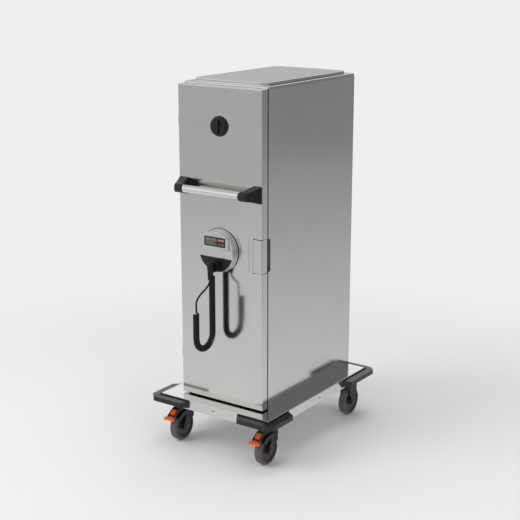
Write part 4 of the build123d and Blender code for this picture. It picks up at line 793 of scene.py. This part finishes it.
cord_rubber = moulded(
    "cord_rubber", (0.010, 0.010, 0.0104), (0.015, 0.015, 0.0155), smooth=0.42, rough=0.52, grain=900,
    specular=0.26)
cord_curve.materials.append(cord_rubber)
mains_cord = bpy.data.objects.new("mains_cord", cord_curve)
bpy.context.collection.objects.link(mains_cord)
dress(cord_rubber, "mains_plug")
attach(mains_cord, "door")
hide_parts("mains_cord_coil", "mains_cord_tail")

# Kink guards: soft rubber sleeves that taper towards the cord, one below the gland and one under the plug.
# One tree strings their ribs on points, each ring a little smaller than the one before.
GUARD_LENGTH = 0.021
GUARD_OUT = 0.0065
GUARD_RADII = (0.0062, 0.0045)
NECK_RADII = (0.0106, 0.0096)
NECK_LENGTH = 0.0265
NECK_BELOW = 0.0065
ROUND_SEGMENTS = 40
RIB_BEAD = 0.0009
RIB_COUNT = 6
BEAD_SEGMENTS = 10
rib_tree, given = new_tree("guard_ribs", ("First Radius", "Last Radius", "Last Index", "Bead"))
hoop = grown("GeometryNodeCurvePrimitiveCircle", Resolution=ROUND_SEGMENTS, Radius=given["First Radius"])
bead = grown("GeometryNodeCurvePrimitiveCircle", Resolution=BEAD_SEGMENTS, Radius=given["Bead"])
rib = grown("GeometryNodeCurveToMesh", Curve=hoop.outputs["Curve"], Profile_Curve=bead.outputs["Curve"])
place_along = calculate("DIVIDE", grown("GeometryNodeInputIndex").outputs["Index"], given["Last Index"])
shrink = calculate("SUBTRACT", calculate("DIVIDE", given["Last Radius"], given["First Radius"]), 1.0)
narrowed = calculate("MULTIPLY_ADD", place_along, shrink, 1.0)
rib_scale = grown("ShaderNodeCombineXYZ", X=narrowed, Y=narrowed, Z=1.0)
ribs = grown("GeometryNodeInstanceOnPoints", Points=given["Points"], Instance=rib.outputs["Mesh"],
             Scale=rib_scale.outputs["Vector"])
finish_tree(ribs.outputs["Instances"])


def ribbed(name, top, length, radii):
    """Ribs of a guard that runs down from a point."""
    places = [top - Vector((0, 0, length * i / (RIB_COUNT - 1))) for i in range(RIB_COUNT)]
    values = {"First Radius": radii[0], "Last Radius": radii[1], "Last Index": float(RIB_COUNT - 1),
              "Bead": RIB_BEAD, "Material": cord_rubber}
    grow(name, places, rib_tree, values, "door")


def sleeve(name, top, length, radii):
    """Tapered sleeve of a guard that runs down from a point."""
    form = bmesh.new()
    middle = Matrix.Translation(top - Vector((0, 0, length / 2)))
    bmesh.ops.create_cone(form, cap_ends=True, segments=ROUND_SEGMENTS, radius1=radii[1], radius2=radii[0],
                          depth=length, matrix=middle)
    piece(name, form, cord_rubber, "door")


neck_top = Vector((0, neck_y, neck_z + NECK_LENGTH - NECK_BELOW))
guard_top = gland + Vector((0, 0, GUARD_LENGTH - GUARD_OUT))
ribbed("plug_guard_ribs", neck_top, NECK_LENGTH - RIB_BEAD, NECK_RADII)
ribbed("gland_guard_ribs", guard_top, GUARD_LENGTH - RIB_BEAD, GUARD_RADII)
sleeve("plug_guard", neck_top, NECK_LENGTH, NECK_RADII)
sleeve("gland_guard", guard_top, GUARD_LENGTH, GUARD_RADII)
